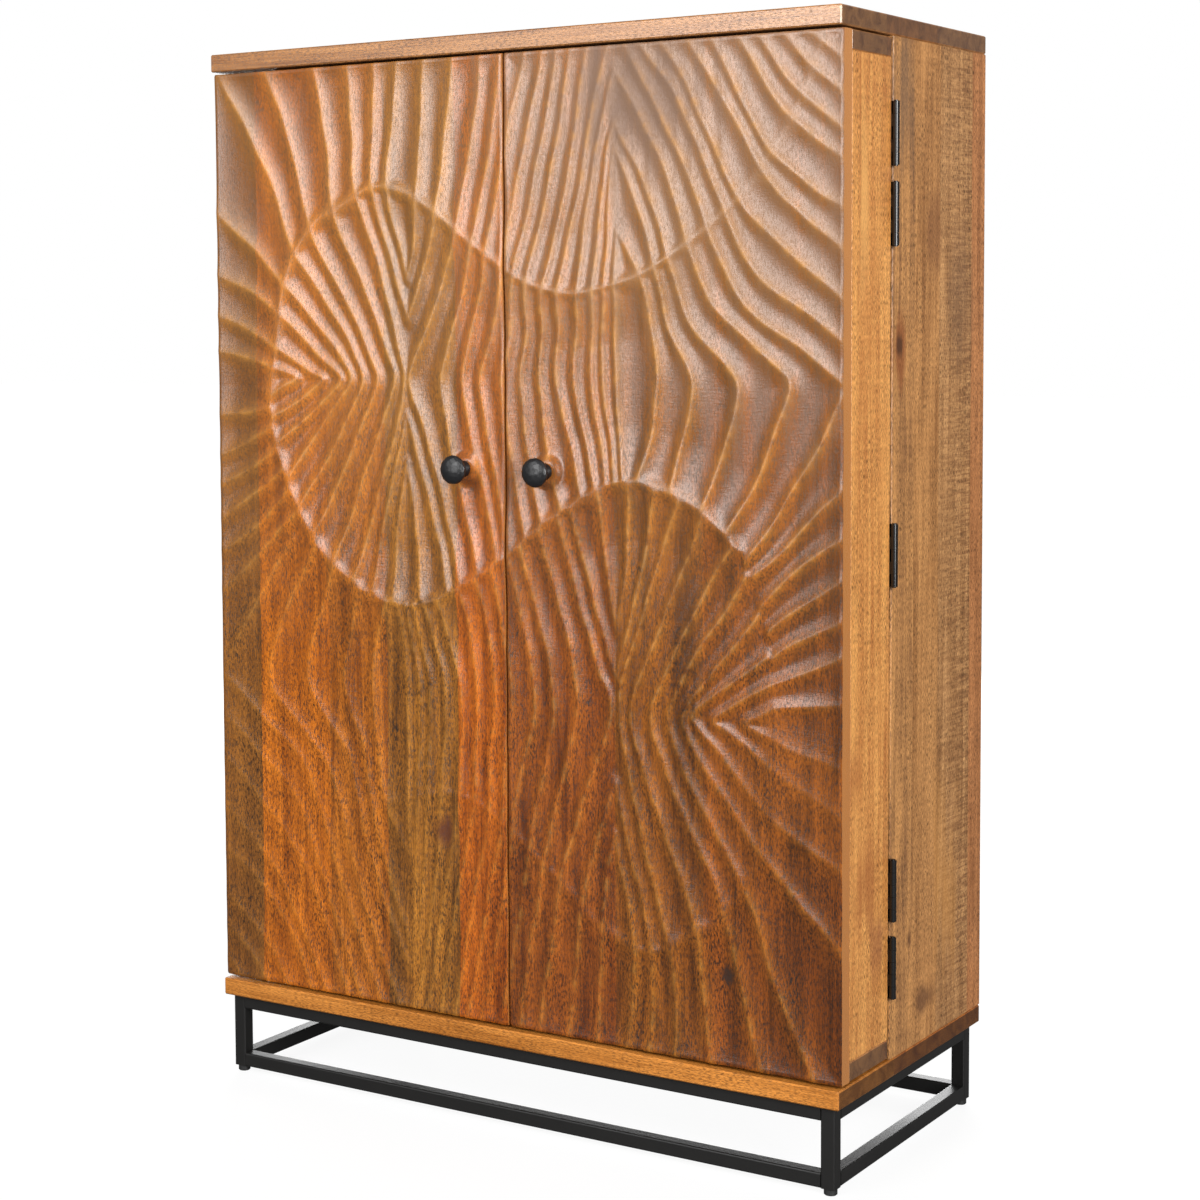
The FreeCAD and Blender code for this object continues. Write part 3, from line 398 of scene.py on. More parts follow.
# Each spot: place across and up, half sizes in mm, colour, share and added roughness
FRONT_SPOTS = [
    # weathered wood at the top of the right door, and its darkest part
    ((230, 1100), (330, 330), "#6e5c54", 0.55, 0.1), ((160, 1120), (115, 95), "#3c3c48", 0.85, 0.3),
    # painted shade below it: a browner, duller place that darkens the sheen there
    ((320, 940), (190, 180), "#5a3818", 0.5, 0.08),
    # two knots
    ((-86, 323), (17, 24), "#55260f", 0.85, 0.2), ((268, 212), (11, 11), "#331d0e", 0.9, 0.2),
]
carved_wood = wood("carved_mango_wood", "Z", FRONT_BOARDS, roughness=0.19, gloss=0.57, pore_share=1.0,
                   spots=FRONT_SPOTS, carved=True)
# Sides: the door's board in front, then four upright boards of the carcass; the two rear ones are painted
# darker as painted shade towards the back, and the rearmost is a little pink
SIDE_BOARDS = [
    (-178, "#ba763b", "#eca85c"), (-52, "#835834", "#d6995a"), (5, "#946234", "#cf9458"),
    (71, "#9b6b3d", "#d7a067"), (159, "#975f34", "#d69058"),
]
SIDE_SPOTS = [
    # grey and brown streaks
    ((-20, 1125), (32, 100), "#5e4a3c", 0.6, 0.1), ((54, 984), (30, 45), "#74492c", 0.55, 0.1),
    ((128, 900), (45, 90), "#6a4c36", 0.45, 0.1),
    # knots
    ((-31, 862), (24, 40), "#7a3f1c", 0.7, 0.1), ((-33, 864), (9, 13), "#3c2415", 0.8, 0.1),
    ((-1, 232), (9, 16), "#4c2c1a", 0.8, 0.1), ((39, 158), (36, 17), "#5c3a24", 0.75, 0.1),
    # red clouds low on the door
    ((-114, 305), (32, 60), "#8a4a24", 0.55, 0.1), ((-78, 245), (22, 40), "#7c4630", 0.5, 0.1),
    ((-138, 432), (18, 40), "#93542a", 0.45, 0.1),
    # paler places
    ((95, 270), (34, 130), "#c98c48", 0.5, 0.1), ((-118, 1010), (12, 110), "#dca560", 0.5, 0.1),
]
side_wood = wood("upright_mango_wood", "Z", SIDE_BOARDS, planks_axis="Y", curl=0.18, pore_share=0.85,
                 ripple=(71, 159), spots=SIDE_SPOTS)
# Top slab, shelves, bottle rails and the doors' end boards run across the cabinet
LONG_BOARDS = [(-178, "#7c4b23", "#bc824a"), (-68, "#784820", "#b67741"), (62, "#82512f", "#bf8753")]
long_wood = wood("long_mango_wood", "X", LONG_BOARDS, planks_axis="Y", roughness=0.27, gloss=0.8,
                 end_share=0.65)
# The bottom slab is redder than the rest, and painted lighter as painted light where it stands low
LOW_BOARDS = [(-178, "#95571b", "#d58a3e"), (-40, "#83471b", "#bf7635")]
low_wood = wood("low_mango_wood", "X", LOW_BOARDS, planks_axis="Y", end_share=0.85)
# Stemware slats run from front to back
DEEP_BOARDS = [(-400, "#8f5f34", "#cf9d68"), (0, "#8a5a2c", "#c99560")]
deep_wood = wood("deep_mango_wood", "Y", DEEP_BOARDS)
# The back is one sheet of plywood, paler and plainer than the boards
BACK_SHEET = [(-400, "#8f683e", "#bd9160")]
back_sheet = wood("back_plywood", "Z", BACK_SHEET, roughness=0.42, gloss=0.25, pore_share=0.45)
woods = (carved_wood, side_wood, long_wood, low_wood, deep_wood, back_sheet)
print("wood finishes", [finish.name for finish in woods])

# %% [markdown]
# ## Metals, plastic and bare wood
#
# The base is square tube with a matt black powder coat, which is slightly grainy. The hinges are blackened
# steel with a satin shine, the knobs are black iron beaten with a hammer, and the screws are zinc plated.
# The feet are black plastic, and the dowels inside the joints are bare beech.

# %% Plain finishes
CLOUD = 12 * MM
UNEVEN = 0.2
GRAIN_BUMP = 0.4


def plain(name, hex_colour, roughness, grain_size, grain_depth, metallic=0.0, gloss=0.5):
    """One colour, a little uneven, with a fine grain."""
    material, tree, shader = new_material(name)
    place = add_node(tree, "TexCoord").outputs["Object"]
    cloud = add_node(tree, "TexNoise", {"Vector": place, "Scale": 1 / CLOUD, "Detail": 3}).outputs["Fac"]
    middle = linear(hex_colour)[:3]
    dark = [(1 - UNEVEN) * value for value in middle] + [1]
    light = [(1 + UNEVEN) * value for value in middle] + [1]
    colour = add_node(tree, "Mix", {0: cloud, 6: dark, 7: light}, data_type="RGBA").outputs[2]
    noise = add_node(tree, "TexNoise", {"Vector": place, "Scale": 1 / grain_size, "Detail": 2})
    bump = add_node(tree, "Bump",
                    {"Strength": GRAIN_BUMP, "Distance": grain_depth, "Height": noise.outputs["Fac"]})
    tree.links.new(colour, shader.inputs["Base Color"])
    tree.links.new(bump.outputs[0], shader.inputs["Normal"])
    shader.inputs["Roughness"].default_value = roughness
    shader.inputs["Metallic"].default_value = metallic
    shader.inputs["Specular IOR Level"].default_value = gloss
    return material


FINISHES = {
    "carved_mango_wood": carved_wood,
    "mango_wood": side_wood,
    "back_plywood": back_sheet,
    # bare beech dowels
    "beech_dowel": plain("beech_dowel", "#d2b48c", 0.6, 1.0 * MM, 0.05 * MM),
    # matt powder coat of the base
    "powder_coated_steel": plain("powder_coated_steel", "#141312", 0.45, 0.8 * MM, 0.05 * MM, gloss=0.4),
    # blackened hinges and pins
    "blackened_steel": plain("blackened_steel", "#121110", 0.2, 1.5 * MM, 0.02 * MM),
    # black iron knobs
    "hammered_iron": plain("hammered_iron", "#101012", 0.38, 3.0 * MM, 0.5 * MM),
    # plated screws, strikes and shelf pins
    "zinc_plated_steel": plain("zinc_plated_steel", "#c9c9c6", 0.3, 0.5 * MM, 0.02 * MM, metallic=1.0),
    # plated magnets of the catches
    "magnet_nickel": plain("magnet_nickel", "#c2beb6", 0.25, 0.4 * MM, 0.01 * MM, metallic=1.0),
    # moulded feet and leg inserts
    "black_plastic": plain("black_plastic", "#1c1c1c", 0.55, 0.6 * MM, 0.04 * MM),
}
LONG_GRAIN = ("top_panel", "bottom_panel", "fixed_shelf", "loose_shelf", "stemware_battens", "bottom_board",
              "top_board", "shelves", "bottle_rails")
for name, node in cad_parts.items():
    finish = FINISHES[SLOTS[name]]
    if SLOTS[name] == "mango_wood" and name.endswith(LONG_GRAIN):
        finish = long_wood
    if name == "stemware_slats":
        finish = deep_wood
    if name == "bottom_panel":
        finish = low_wood
    node.data.materials.clear()
    node.data.materials.append(finish)
print("finishes given to", len(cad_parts), "nodes")

# %% [markdown]
# ## The carving, as lines
#
# Each flute is a hollow cut with a gouge between two sharp crests, so the carving can be written down as
# the crests alone. The lines below were measured on the doors, in millimetres across and up. They fan out
# from the left edge, bend to points on two levels and on one upright line in each door. Two S-shaped ridges
# cross them, and the flutes run out at those ridges. The lower half repeats the upper one turned half
# round.

# %% Crests
KINK_LEVEL = 828
LOWER_KINK_LEVEL = 476
CRESTS = [
    # fan at the left edge and the arrow heads inside the left circle, upper arms then lower arms
    [(-400, 858), (-345, 848), (-318, 838), (-278, 828)],
    [(-278, 828), (-300, 819), (-318, 808)],
    [(-400, 900), (-345, 878), (-312, 860), (-262, 833), (-243, 826)],
    [(-243, 826), (-262, 815), (-285, 800), (-320, 780)],
    [(-400, 947), (-345, 923), (-300, 895), (-250, 850), (-216, 826)],
    [(-216, 826), (-235, 810), (-262, 790), (-304, 757)],
    [(-400, 1018), (-345, 975), (-290, 925), (-240, 872), (-203, 827)],
    [(-203, 827), (-240, 785), (-297, 712)],
    [(-397, 1178), (-350, 1105), (-315, 1040), (-290, 978), (-225, 890), (-188, 828)],
    [(-188, 828), (-225, 762), (-283, 675)],
    [(-325, 1178), (-295, 1105), (-257, 985), (-210, 908), (-168, 828)],
    [(-168, 828), (-200, 762), (-245, 675), (-264, 648)],
    [(-255, 1178), (-240, 1090), (-227, 1010), (-185, 922), (-144, 828)],
    [(-144, 828), (-165, 778), (-205, 682), (-232, 618)],
    [(-208, 1178), (-203, 1100), (-199, 1040), (-165, 942), (-132, 828)],
    [(-132, 828), (-140, 790), (-165, 715), (-190, 640), (-205, 600)],
    # points on the upright line of the left door
    [(-172, 1178), (-174, 1040), (-148, 950), (-131, 893)],
    [(-66, 1178), (-88, 1015), (-108, 945), (-131, 893)],
    [(-140, 1178), (-154, 1045), (-137, 968), (-130, 938)],
    [(-104, 1178), (-113, 1060), (-118, 985), (-130, 938)],
    [(-132, 790), (-150, 720), (-170, 640), (-178, 590)],
    [(-132, 790), (-105, 700), (-88, 640), (-78, 600)],
    [(-133, 735), (-145, 660), (-150, 580)],
    [(-133, 735), (-120, 660), (-112, 582)],
    # right of the left circle's middle, up over the ridge and down to the lower one
    [(-28, 1178), (-38, 1110), (-60, 1000), (-75, 950), (-105, 880), (-132, 828)],
    [(-132, 828), (-112, 785), (-98, 740), (-85, 700), (-60, 600)],
    [(-2, 1178), (-18, 1080), (-40, 980), (-62, 900), (-88, 828)],
    [(-88, 828), (-72, 750), (-58, 700), (-35, 615)],
    [(28, 1178), (3, 1080), (-15, 1000), (-30, 930), (-58, 828)],
    [(-58, 828), (-45, 760), (-25, 690), (-10, 630)],
    [(50, 1178), (32, 1100), (8, 1000), (-8, 910), (-34, 826)],
    [(-34, 826), (-20, 750), (4, 645)],
    [(68, 1178), (52, 1100), (28, 1000), (12, 940), (8, 880), (-5, 828)],
    [(-5, 828), (8, 750), (24, 660)],
    [(85, 1178), (68, 1090), (50, 1010), (30, 940), (28, 880), (18, 828)],
    [(18, 828), (30, 745), (46, 675)],
    [(105, 1178), (90, 1100), (75, 1020), (50, 930), (48, 880), (42, 828)],
    [(42, 828), (55, 740), (72, 690)],
    [(130, 1178), (108, 1100), (92, 1020), (69, 928), (68, 880), (63, 828)],
    [(63, 828), (87, 740), (97, 703)],
    # points on the upright line of the right door, left arms then right arms
    [(137, 1152), (118, 1080), (105, 1020), (93, 924), (90, 880), (85, 828)],
    [(85, 828), (107, 740), (115, 712)],
    [(137, 1097), (127, 1060), (120, 1010), (112, 922), (110, 880), (106, 828)],
    [(106, 828), (125, 740), (128, 718)],
    [(137, 1075), (130, 1030), (127, 925), (122, 880), (120, 828)],
    [(120, 828), (133, 760), (139, 720)],
    [(137, 985), (139, 925), (138, 880), (137, 828)],
    [(137, 828), (142, 770), (149, 722)],
    [(137, 985), (155, 960), (170, 935), (182, 880), (190, 828)],
    [(190, 828), (180, 770), (165, 722)],
    [(137, 1075), (165, 1010), (186, 950), (200, 885), (232, 828)],
    [(232, 828), (222, 780), (203, 712)],
    [(137, 1097), (165, 1050), (190, 995), (205, 950), (225, 890), (286, 828)],
    [(286, 828), (270, 770), (242, 694)],
    [(137, 1152), (165, 1108), (200, 1040), (225, 972), (255, 905), (344, 828)],
    [(344, 828), (318, 760), (300, 720), (272, 676)],
    [(150, 1178), (180, 1125), (225, 1040), (250, 978), (290, 905), (350, 865), (400, 828)],
    [(400, 815), (370, 760), (335, 705), (300, 655)],
    [(168, 1178), (215, 1115), (268, 1000), (300, 940), (350, 905), (400, 870)],
    [(195, 1178), (225, 1130), (280, 1020), (310, 985), (350, 950), (400, 910)],
    # the upper right corner
    [(225, 1178), (262, 1120), (318, 1030), (350, 1000), (400, 960)],
    [(253, 1178), (290, 1105), (322, 1058), (370, 1020), (400, 1003)],
    [(283, 1178), (320, 1120), (345, 1090), (400, 1050)],
    [(305, 1178), (350, 1120), (400, 1080)],
    [(333, 1178), (362, 1145), (400, 1115)],
    [(360, 1178), (380, 1162), (400, 1148)],
    # fan at the right edge
    [(400, 722), (360, 685), (320, 645), (298, 628)],
    [(400, 672), (350, 640), (306, 597)],
    [(400, 632), (345, 595), (314, 572)],
    [(400, 590), (340, 560), (318, 545)],
    [(400, 553), (350, 532), (325, 521)],
    [(400, 505), (350, 500), (323, 495)],
]
# The two ridges, from the left circle's left side over the top and under the bottom
UPPER_RIDGE = [(-320, 806), (-318, 838), (-310, 880), (-303, 925), (-285, 968), (-255, 1003), (-225, 1018),
               (-174, 1040), (-118, 1028), (-60, 988), (0, 948), (40, 928), (80, 921), (120, 925),
               (160, 935), (200, 955), (245, 985), (285, 1018), (315, 1055), (340, 1088), (365, 1140),
               (378, 1178)]
MIDDLE_RIDGE = [(-320, 806), (-320, 780), (-312, 745), (-285, 680), (-250, 630), (-205, 595), (-150, 575),
                (-95, 582), (-33, 613), (20, 650), (60, 680), (115, 712), (160, 722), (200, 712),
                (245, 692), (285, 655)]
print("crests", len(CRESTS))

# %% [markdown]
# ## Drawing the lines
#
# An arm that starts where the last one ended runs on from it round a blunt nose, as a gouge turns a corner.
# The lower half is the same set of lines turned half round, a little squeezed above its points and
# stretched below them. Each line is then drawn smooth through its points.

# %% Lines
HALF_TURN_ABOUT = 2.5
LOWER_STRETCH_UP = 0.95
LOWER_STRETCH_DOWN = 1.19
# How far from its tip a nose starts to bend and how blunt it is, and the most of an arm that may bend
UPPER_BEND = (22, 0.2)
LOWER_BEND = (30, 0.25)
LONGEST_BEND = 0.6
# How far a line is drawn on across the middle ridge, and where that ridge would run past its ends
RUN_ON = 45
LEFT_BORDER = 815
RIGHT_BORDER = [(305, 600), (317, 555), (326, 485)]


def half_turn(line):
    """The same line in the lower half, turned half round; the lower circle is a little taller."""
    turned = []
    for x, z in line:
        stretch = LOWER_STRETCH_UP if z < KINK_LEVEL else LOWER_STRETCH_DOWN
        turned.append((2 * HALF_TURN_ABOUT - x, LOWER_KINK_LEVEL + (KINK_LEVEL - z) * stretch))
    return turned


def joined(lines, bend, blunt):
    """An arm that starts where the one before it ended runs on from it as one line, round a blunt nose."""
    whole = []
    for line in lines:
        if whole and whole[-1][-1] == line[0]:
            tip = np.array(line[0])
            turns = [np.array(place) - tip for place in (whole[-1][-2], line[1])]
            near = [turn * min(bend / math.hypot(*turn), LONGEST_BEND) for turn in turns]
            nose = [tip + near[0], tip + blunt * (near[0] + near[1]), tip + near[1]]
            whole[-1] = whole[-1][:-1] + [tuple(place) for place in nose] + line[1:]
        else:
            whole.append(line)
    return whole


def border(x):
    """Height of the middle ridge, which parts the upper half of the carving from the lower one."""
    points = np.array(MIDDLE_RIDGE + RIGHT_BORDER, dtype=float)
    return np.interp(x, points[:, 0], points[:, 1], left=LEFT_BORDER)


def run_on(line):
    """The line drawn on across the middle ridge where it ends near it."""
    (x1, z1), (x2, z2) = line[-2:]
    if abs(z2 - border(x2)) > RUN_ON:
        return line
    further = RUN_ON / math.hypot(x2 - x1, z2 - z1)
    return line + [(x2 + (x2 - x1) * further, z2 + (z2 - z1) * further)]


def smooth_line(line, parts=5):
    """Points along a curve that passes through the given ones."""
    points = np.array(line, dtype=float)
    padded = np.vstack([2 * points[0] - points[1], points, 2 * points[-1] - points[-2]])
    drawn = []
    for before, start, end, after in zip(padded, padded[1:], padded[2:], padded[3:]):
        for step in np.arange(parts) / parts:
            bend = (2 * before - 5 * start + 4 * end - after) * step ** 2
            bend += (3 * start - before - 3 * end + after) * step ** 3
            drawn.append(start + 0.5 * ((end - before) * step + bend))
    drawn.append(points[-1])
    return np.array(drawn)


print("whole lines in the upper half", len(joined(CRESTS, *UPPER_BEND)))

# %% [markdown]
# ## Distances to the lines
#
# The depth of the cut at a spot depends on how far the two nearest crests are. So each spot's distance to
# every line near it is worked out, and the two smallest are kept. A hand-held gouge wanders a little, so
# the spots are first moved to and fro in long waves. A crest sinks at its two tips.

# %% Distances
REACH = 60
TIP_DROP = 4
TIP_LENGTH = 18
WANDER = 0.6
LESSER_WANDER = 0.5


def unsteady(x, z):
    """The spots moved a millimetre or so to and fro, in waves some 70 to 260 mm long."""
    return (x + WANDER * np.sin(x / 17 + z / 29) + LESSER_WANDER * np.sin(z / 11 - x / 41 + 1.3),
            z + WANDER * np.sin(x / 13 - z / 37 + 0.6) + LESSER_WANDER * np.sin(x / 31 + z / 19))


def distance_to(line, across, up):
    """Distance from each spot to a drawn line."""
    least = np.full(across.shape, np.inf)
    for start, end in zip(line, line[1:]):
        way = end - start
        from_x, from_z = across - start[0], up - start[1]
        along = np.clip((from_x * way[0] + from_z * way[1]) / (way @ way), 0, 1)
        np.minimum(least, np.hypot(from_x - along * way[0], from_z - along * way[1]), out=least)
    return least


def two_nearest(lines, xs, zs):
    """Distances from each spot of a grid to the nearest and the second nearest of the lines."""
    nearest = np.full((len(zs), len(xs)), float(REACH))
    second = nearest.copy()
    across, up = unsteady(*np.meshgrid(xs, zs))
    for line in lines:
        drawn = smooth_line(line)
        low, high = drawn.min(axis=0) - REACH, drawn.max(axis=0) + REACH
        columns = slice(*np.searchsorted(xs, (low[0], high[0])))
        rows = slice(*np.searchsorted(zs, (low[1], high[1])))
        if columns.start == columns.stop or rows.start == rows.stop:
            continue
        distance = distance_to(drawn, across[rows, columns], up[rows, columns])
        for x, z in (drawn[0], drawn[-1]):
            from_tip = np.hypot(across[rows, columns] - x, up[rows, columns] - z)
            distance += TIP_DROP * np.exp(-from_tip / TIP_LENGTH)
        closer = nearest[rows, columns]
        second[rows, columns] = np.minimum(second[rows, columns], np.maximum(closer, distance))
        nearest[rows, columns] = np.minimum(closer, distance)
    return nearest, second


# %% [markdown]
# ## Relief
#
# The cut is nothing on a crest and deepest halfway between two, and a wide flute is deeper than a narrow
# one. The flutes run out at the ridges, which stand higher than the field. The carver cut some places less
# deeply: the lower left, the top of the right door and the middle of the lower right fan.

# %% Relief
# Depth of the widest flutes, how fast depth grows with width, and how flat their floors are at two widths
DEEPEST = 5.0
WIDTH_FOR_DEPTH = 24
LEAST_WIDTH = 0.01
FLUTE_POWERS = ((20, 60), (1.5, 2.6))
CREST_WIDTH = 2.4
# Places across where the two halves meet ever more softly, and how softly
BORDER_BLEND = ((270, 310), (1, 14))
# Height and roundness of the ridges; the lowest is weak and the upper one fades to the right
RIDGE_RISE = 4.5
RIDGE_ROUND = 14
LOWER_SHARE = 0.45
FADE_END = 320
FADE_RUN = 130
FADE_LEAST = 0.3
# How near a ridge a flute runs out, as a part of its width, and how much of it is filled
END_SHARE = 0.22
END_FILL = 0.85
# Middle, size and share taken off in the places that are cut less deeply
SHALLOW_PLACES = [
    ((-330, 350), (260, 290), 0.64),
    ((140, 1090), (170, 170), 0.25),
    ((350, 420), (120, 95), 0.72),
]


def patch(xs, zs, place, size):
    """A soft oval patch: 1 in its middle and fading to 0 outside."""
    return np.exp(-((xs[None, :] - place[0]) / size[0]) ** 2 - ((zs[:, None] - place[1]) / size[1]) ** 2)


def flutes(lines, xs, zs):
    """Depth of the flutes between lines, the distance to the nearest one and the width between the two."""
    nearest, second = two_nearest(lines, xs, zs)
    width = nearest + second
    from_middle = np.abs(1 - 2 * nearest / np.maximum(width, LEAST_WIDTH))
    deepest = DEEPEST * (1 - np.exp(-width / WIDTH_FOR_DEPTH))
    depth = deepest * (1 - from_middle ** np.interp(width, *FLUTE_POWERS))
    return depth, nearest, width


def carving(xs, zs):
    """Depth of the cut in mm, and how near a crest and how hollow it is, on the grid of spots xs by zs."""
    upper = flutes([run_on(line) for line in joined(CRESTS, *UPPER_BEND)], xs, zs)
    lower = flutes([run_on(half_turn(line)) for line in joined(CRESTS, *LOWER_BEND)], xs, zs)
    blend = np.interp(xs, *BORDER_BLEND)[None, :]
    above = np.clip(0.5 + (zs[:, None] - border(xs)[None, :]) / (2 * blend), 0, 1)
    flute, nearest, width = (low + above * (high - low) for high, low in zip(upper, lower))
    fade = np.clip((FADE_END - xs) / FADE_RUN, FADE_LEAST, 1)[None, :]
    rise = np.zeros_like(flute)
    for ridge, share in ((UPPER_RIDGE, fade), (MIDDLE_RIDGE, 1), (half_turn(UPPER_RIDGE), LOWER_SHARE)):
        away, _ = two_nearest([ridge], xs, zs)
        flute *= 1 - END_FILL * share * np.exp(-(away / (END_SHARE * width)) ** 2)
        away = np.hypot(away, RIDGE_ROUND) - RIDGE_ROUND
        rise = np.maximum(rise, share * (1 - away / REACH) ** 2)
    fall = RIDGE_RISE * (1 - rise)
    strength = np.ones_like(flute)
    for place, size, share in SHALLOW_PLACES:
        strength -= share * patch(xs, zs, place, size)
    cut = strength * flute
    return cut + fall, strength * np.exp(-nearest / CREST_WIDTH), cut / DEEPEST


print("places cut less deeply", len(SHALLOW_PLACES))

# %% [markdown]
# ## Carved fronts
#
# Each front starts as a flat grid standing in the door's face. Its spots are pushed back by the depth of
# the cut, and its rim is drawn out to the back of the board, so the carving also shows along the edges, as
# it does on the real doors. A flat seat is left under each knob. The inside of the board is plain, so no
# crest or hollow is marked there.

# %% Carved fronts
GRID_ACROSS = 188
GRID_UP = 500
KNOB_PLACE = (52.5, 730)
SEAT_RADIUS = 9
SEAT_EDGE = 12
# The cut is shallower at the board's edges, which are eased by a little over a millimetre
EDGE_SHARE = 0.4
EDGE_RUN = 20
EDGE_EASE = 1.2
CARVING_SMOOTH = math.radians(50)


def board_carving(side, xs, zs):
    """The carving of one board, with its eased edges and the seat of its knob."""
    depth, crest, hollow = carving(xs, zs)
    from_side = np.minimum(xs - xs[0], xs[-1] - xs)[None, :]
    from_end = np.minimum(zs - zs[0], zs[-1] - zs)[:, None]
    depth *= 1 - (1 - EDGE_SHARE) * np.exp(-np.minimum(from_side, from_end) / EDGE_RUN)
    from_knob = np.hypot(xs[None, :] - side * KNOB_PLACE[0], zs[:, None] - KNOB_PLACE[1])
    seat = np.clip((from_knob - SEAT_RADIUS) / SEAT_EDGE, 0, 1)
    depth *= seat * seat * (3 - 2 * seat)
    depth[[0, -1], :] += EDGE_EASE
    depth[:, [0, -1]] += EDGE_EASE
    return depth, crest, hollow


def carved_front(side, node_name, body):
    """One door's front board with its carving; side is -1 for the left door and 1 for the right one."""
    low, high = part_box(node_name)
    xs = np.linspace(low[0], high[0], GRID_ACROSS + 1) / MM
    zs = np.linspace(low[2], high[2], GRID_UP + 1) / MM
    depth, crest, hollow = board_carving(side, xs, zs)
    bpy.ops.mesh.primitive_grid_add(x_subdivisions=GRID_ACROSS, y_subdivisions=GRID_UP, size=2)
    front = bpy.context.object
    front.name = f"carved_{node_name}"
    flat = np.empty(len(front.data.vertices) * 3)
    front.data.vertices.foreach_get("co", flat)
    flat = flat.reshape(-1, 3)
    column = np.rint((flat[:, 0] + 1) / 2 * GRID_ACROSS).astype(int)
    row = np.rint((flat[:, 1] + 1) / 2 * GRID_UP).astype(int)
    face = low[1] + depth[row, column] * MM
    placed = np.column_stack([xs[column] * MM, face, zs[row] * MM])
    front.data.vertices.foreach_set("co", placed.ravel())
    for name, values in (("crest", crest), ("hollow", hollow)):
        attribute = front.data.attributes.new(name, "FLOAT", "POINT")
        attribute.data.foreach_set("value", values[row, column])
    bpy.ops.object.mode_set(mode="EDIT")
    bpy.ops.mesh.select_all(action="SELECT")
    bpy.ops.mesh.region_to_loop()
    bpy.ops.mesh.extrude_edges_move()
    bpy.ops.transform.resize(value=(1, 0, 1), center_override=(0, high[1], 0))
    bpy.ops.mesh.edge_face_add()
    bpy.ops.mesh.select_all(action="SELECT")
    bpy.ops.mesh.normals_make_consistent(inside=False)
    bpy.ops.object.mode_set(mode="OBJECT")
    behind = np.array([vertex.co.y > high[1] - EDGE_EASE * MM for vertex in front.data.vertices])
    for name in ("crest", "hollow"):
        values = np.empty(len(behind))
        front.data.attributes[name].data.foreach_get("value", values)
        front.data.attributes[name].data.foreach_set("value", np.where(behind, 0, values))
    bpy.ops.object.shade_smooth_by_angle(angle=CARVING_SMOOTH)
    front.data.materials.append(carved_wood)
    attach(front, body)
    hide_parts(node_name)
    print(front.name, "deepest cut", round(depth.max(), 2), "mm, faces", len(front.data.polygons))
    bpy.ops.object.select_all(action="DESELECT")


carved_front(-1, "left_door_front", "left_door")
carved_front(1, "right_door_front", "right_door")

# %% [markdown]
# ## Hammered knobs
#
# A smith beats the iron head all over, and each blow leaves a small flat. Here the head is a fine sphere,
# pressed to a flattened dome, and every spot that stands outside one of the flats is pulled in to it. The
# flats lie on an even spiral round the head, a little out of order. The neck and the flared base grow from
# a ring.

# %% Knobs
FLATS = 90
FLAT_DEPTHS = (0.955, 0.985)
FLAT_STRAY = 0.12
SPIRAL_TURN = math.pi * (3 - math.sqrt(5))
SEED = 5
GRAZING = 0.05
HEAD_THICKNESS = 13
HEAD_SPLITS = 5
HEAD_SMOOTH = math.radians(14)
# Radius and distance from the door of each ring of the neck
NECK_PROFILE = [(9, 0), (8.8, 1.2), (7.4, 3.6), (6.2, 6.2), (5.5, 9.0), (5.5, 18.0)]
NECK_SMOOTH = math.radians(40)
RING_CORNERS = 32


def hammered_sphere(side):
    """Spots of a sphere of radius 1, pulled in to the flats that a hammer left, as a new mesh object."""
    chance = np.random.default_rng(SEED + side)
    number = np.arange(FLATS) + 0.5
    turn = number * SPIRAL_TURN + chance.uniform(-FLAT_STRAY, FLAT_STRAY, FLATS)
    height = 1 - 2 * number / FLATS
    round_about = np.sqrt(1 - height ** 2)
    flats = np.column_stack([round_about * np.cos(turn), height, round_about * np.sin(turn)])
    inward = chance.uniform(*FLAT_DEPTHS, FLATS)
    bpy.ops.mesh.primitive_ico_sphere_add(subdivisions=HEAD_SPLITS, radius=1)
    sphere = bpy.context.object
    spots = np.array([vertex.co[:] for vertex in sphere.data.vertices])
    spots /= np.linalg.norm(spots, axis=1)[:, None]
    towards = np.maximum(spots @ flats.T, GRAZING)
    reach = np.minimum(1, (inward / towards).min(axis=1))
    return sphere, spots * reach[:, None]


def knob(side, node_name, body):
    """One hammered knob; side is -1 for the left door and 1 for the right one."""
    low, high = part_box(node_name)
    radius = (high[0] - low[0]) / 2
    axis = np.array([(low[0] + high[0]) / 2, high[1], (low[2] + high[2]) / 2])
    head, spots = hammered_sphere(side)
    head.name = f"hammered_{node_name}"
    half_sizes = np.array([radius, HEAD_THICKNESS / 2 * MM, radius])
    middle = axis - [0, (high[1] - low[1]) - half_sizes[1], 0]
    head.data.vertices.foreach_set("co", (middle + spots * half_sizes).ravel())
    bpy.ops.object.shade_smooth_by_angle(angle=HEAD_SMOOTH)
    bpy.ops.mesh.primitive_circle_add(vertices=RING_CORNERS, radius=NECK_PROFILE[0][0] * MM,
                                      fill_type="NGON", location=axis, rotation=(math.radians(90), 0, 0))
    bpy.ops.object.transform_apply()
    bpy.ops.object.mode_set(mode="EDIT")
    bpy.ops.mesh.select_all(action="SELECT")
    for (wide, near), (narrow, far) in zip(NECK_PROFILE, NECK_PROFILE[1:]):
        bpy.ops.mesh.extrude_region_move(TRANSFORM_OT_translate={"value": (0, -(far - near) * MM, 0)})
        bpy.ops.transform.resize(value=(narrow / wide, 1, narrow / wide),
                                 center_override=(axis[0], 0, axis[2]))
    bpy.ops.mesh.select_all(action="SELECT")
    bpy.ops.mesh.normals_make_consistent(inside=False)
    bpy.ops.object.mode_set(mode="OBJECT")
    bpy.ops.object.shade_smooth_by_angle(angle=NECK_SMOOTH)
    head.select_set(True)
    bpy.context.view_layer.objects.active = head
    bpy.ops.object.join()
    head.data.materials.append(FINISHES["hammered_iron"])
    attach(head, body)
    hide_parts(node_name)
    print(head.name, "faces", len(head.data.polygons))
    bpy.ops.object.select_all(action="DESELECT")


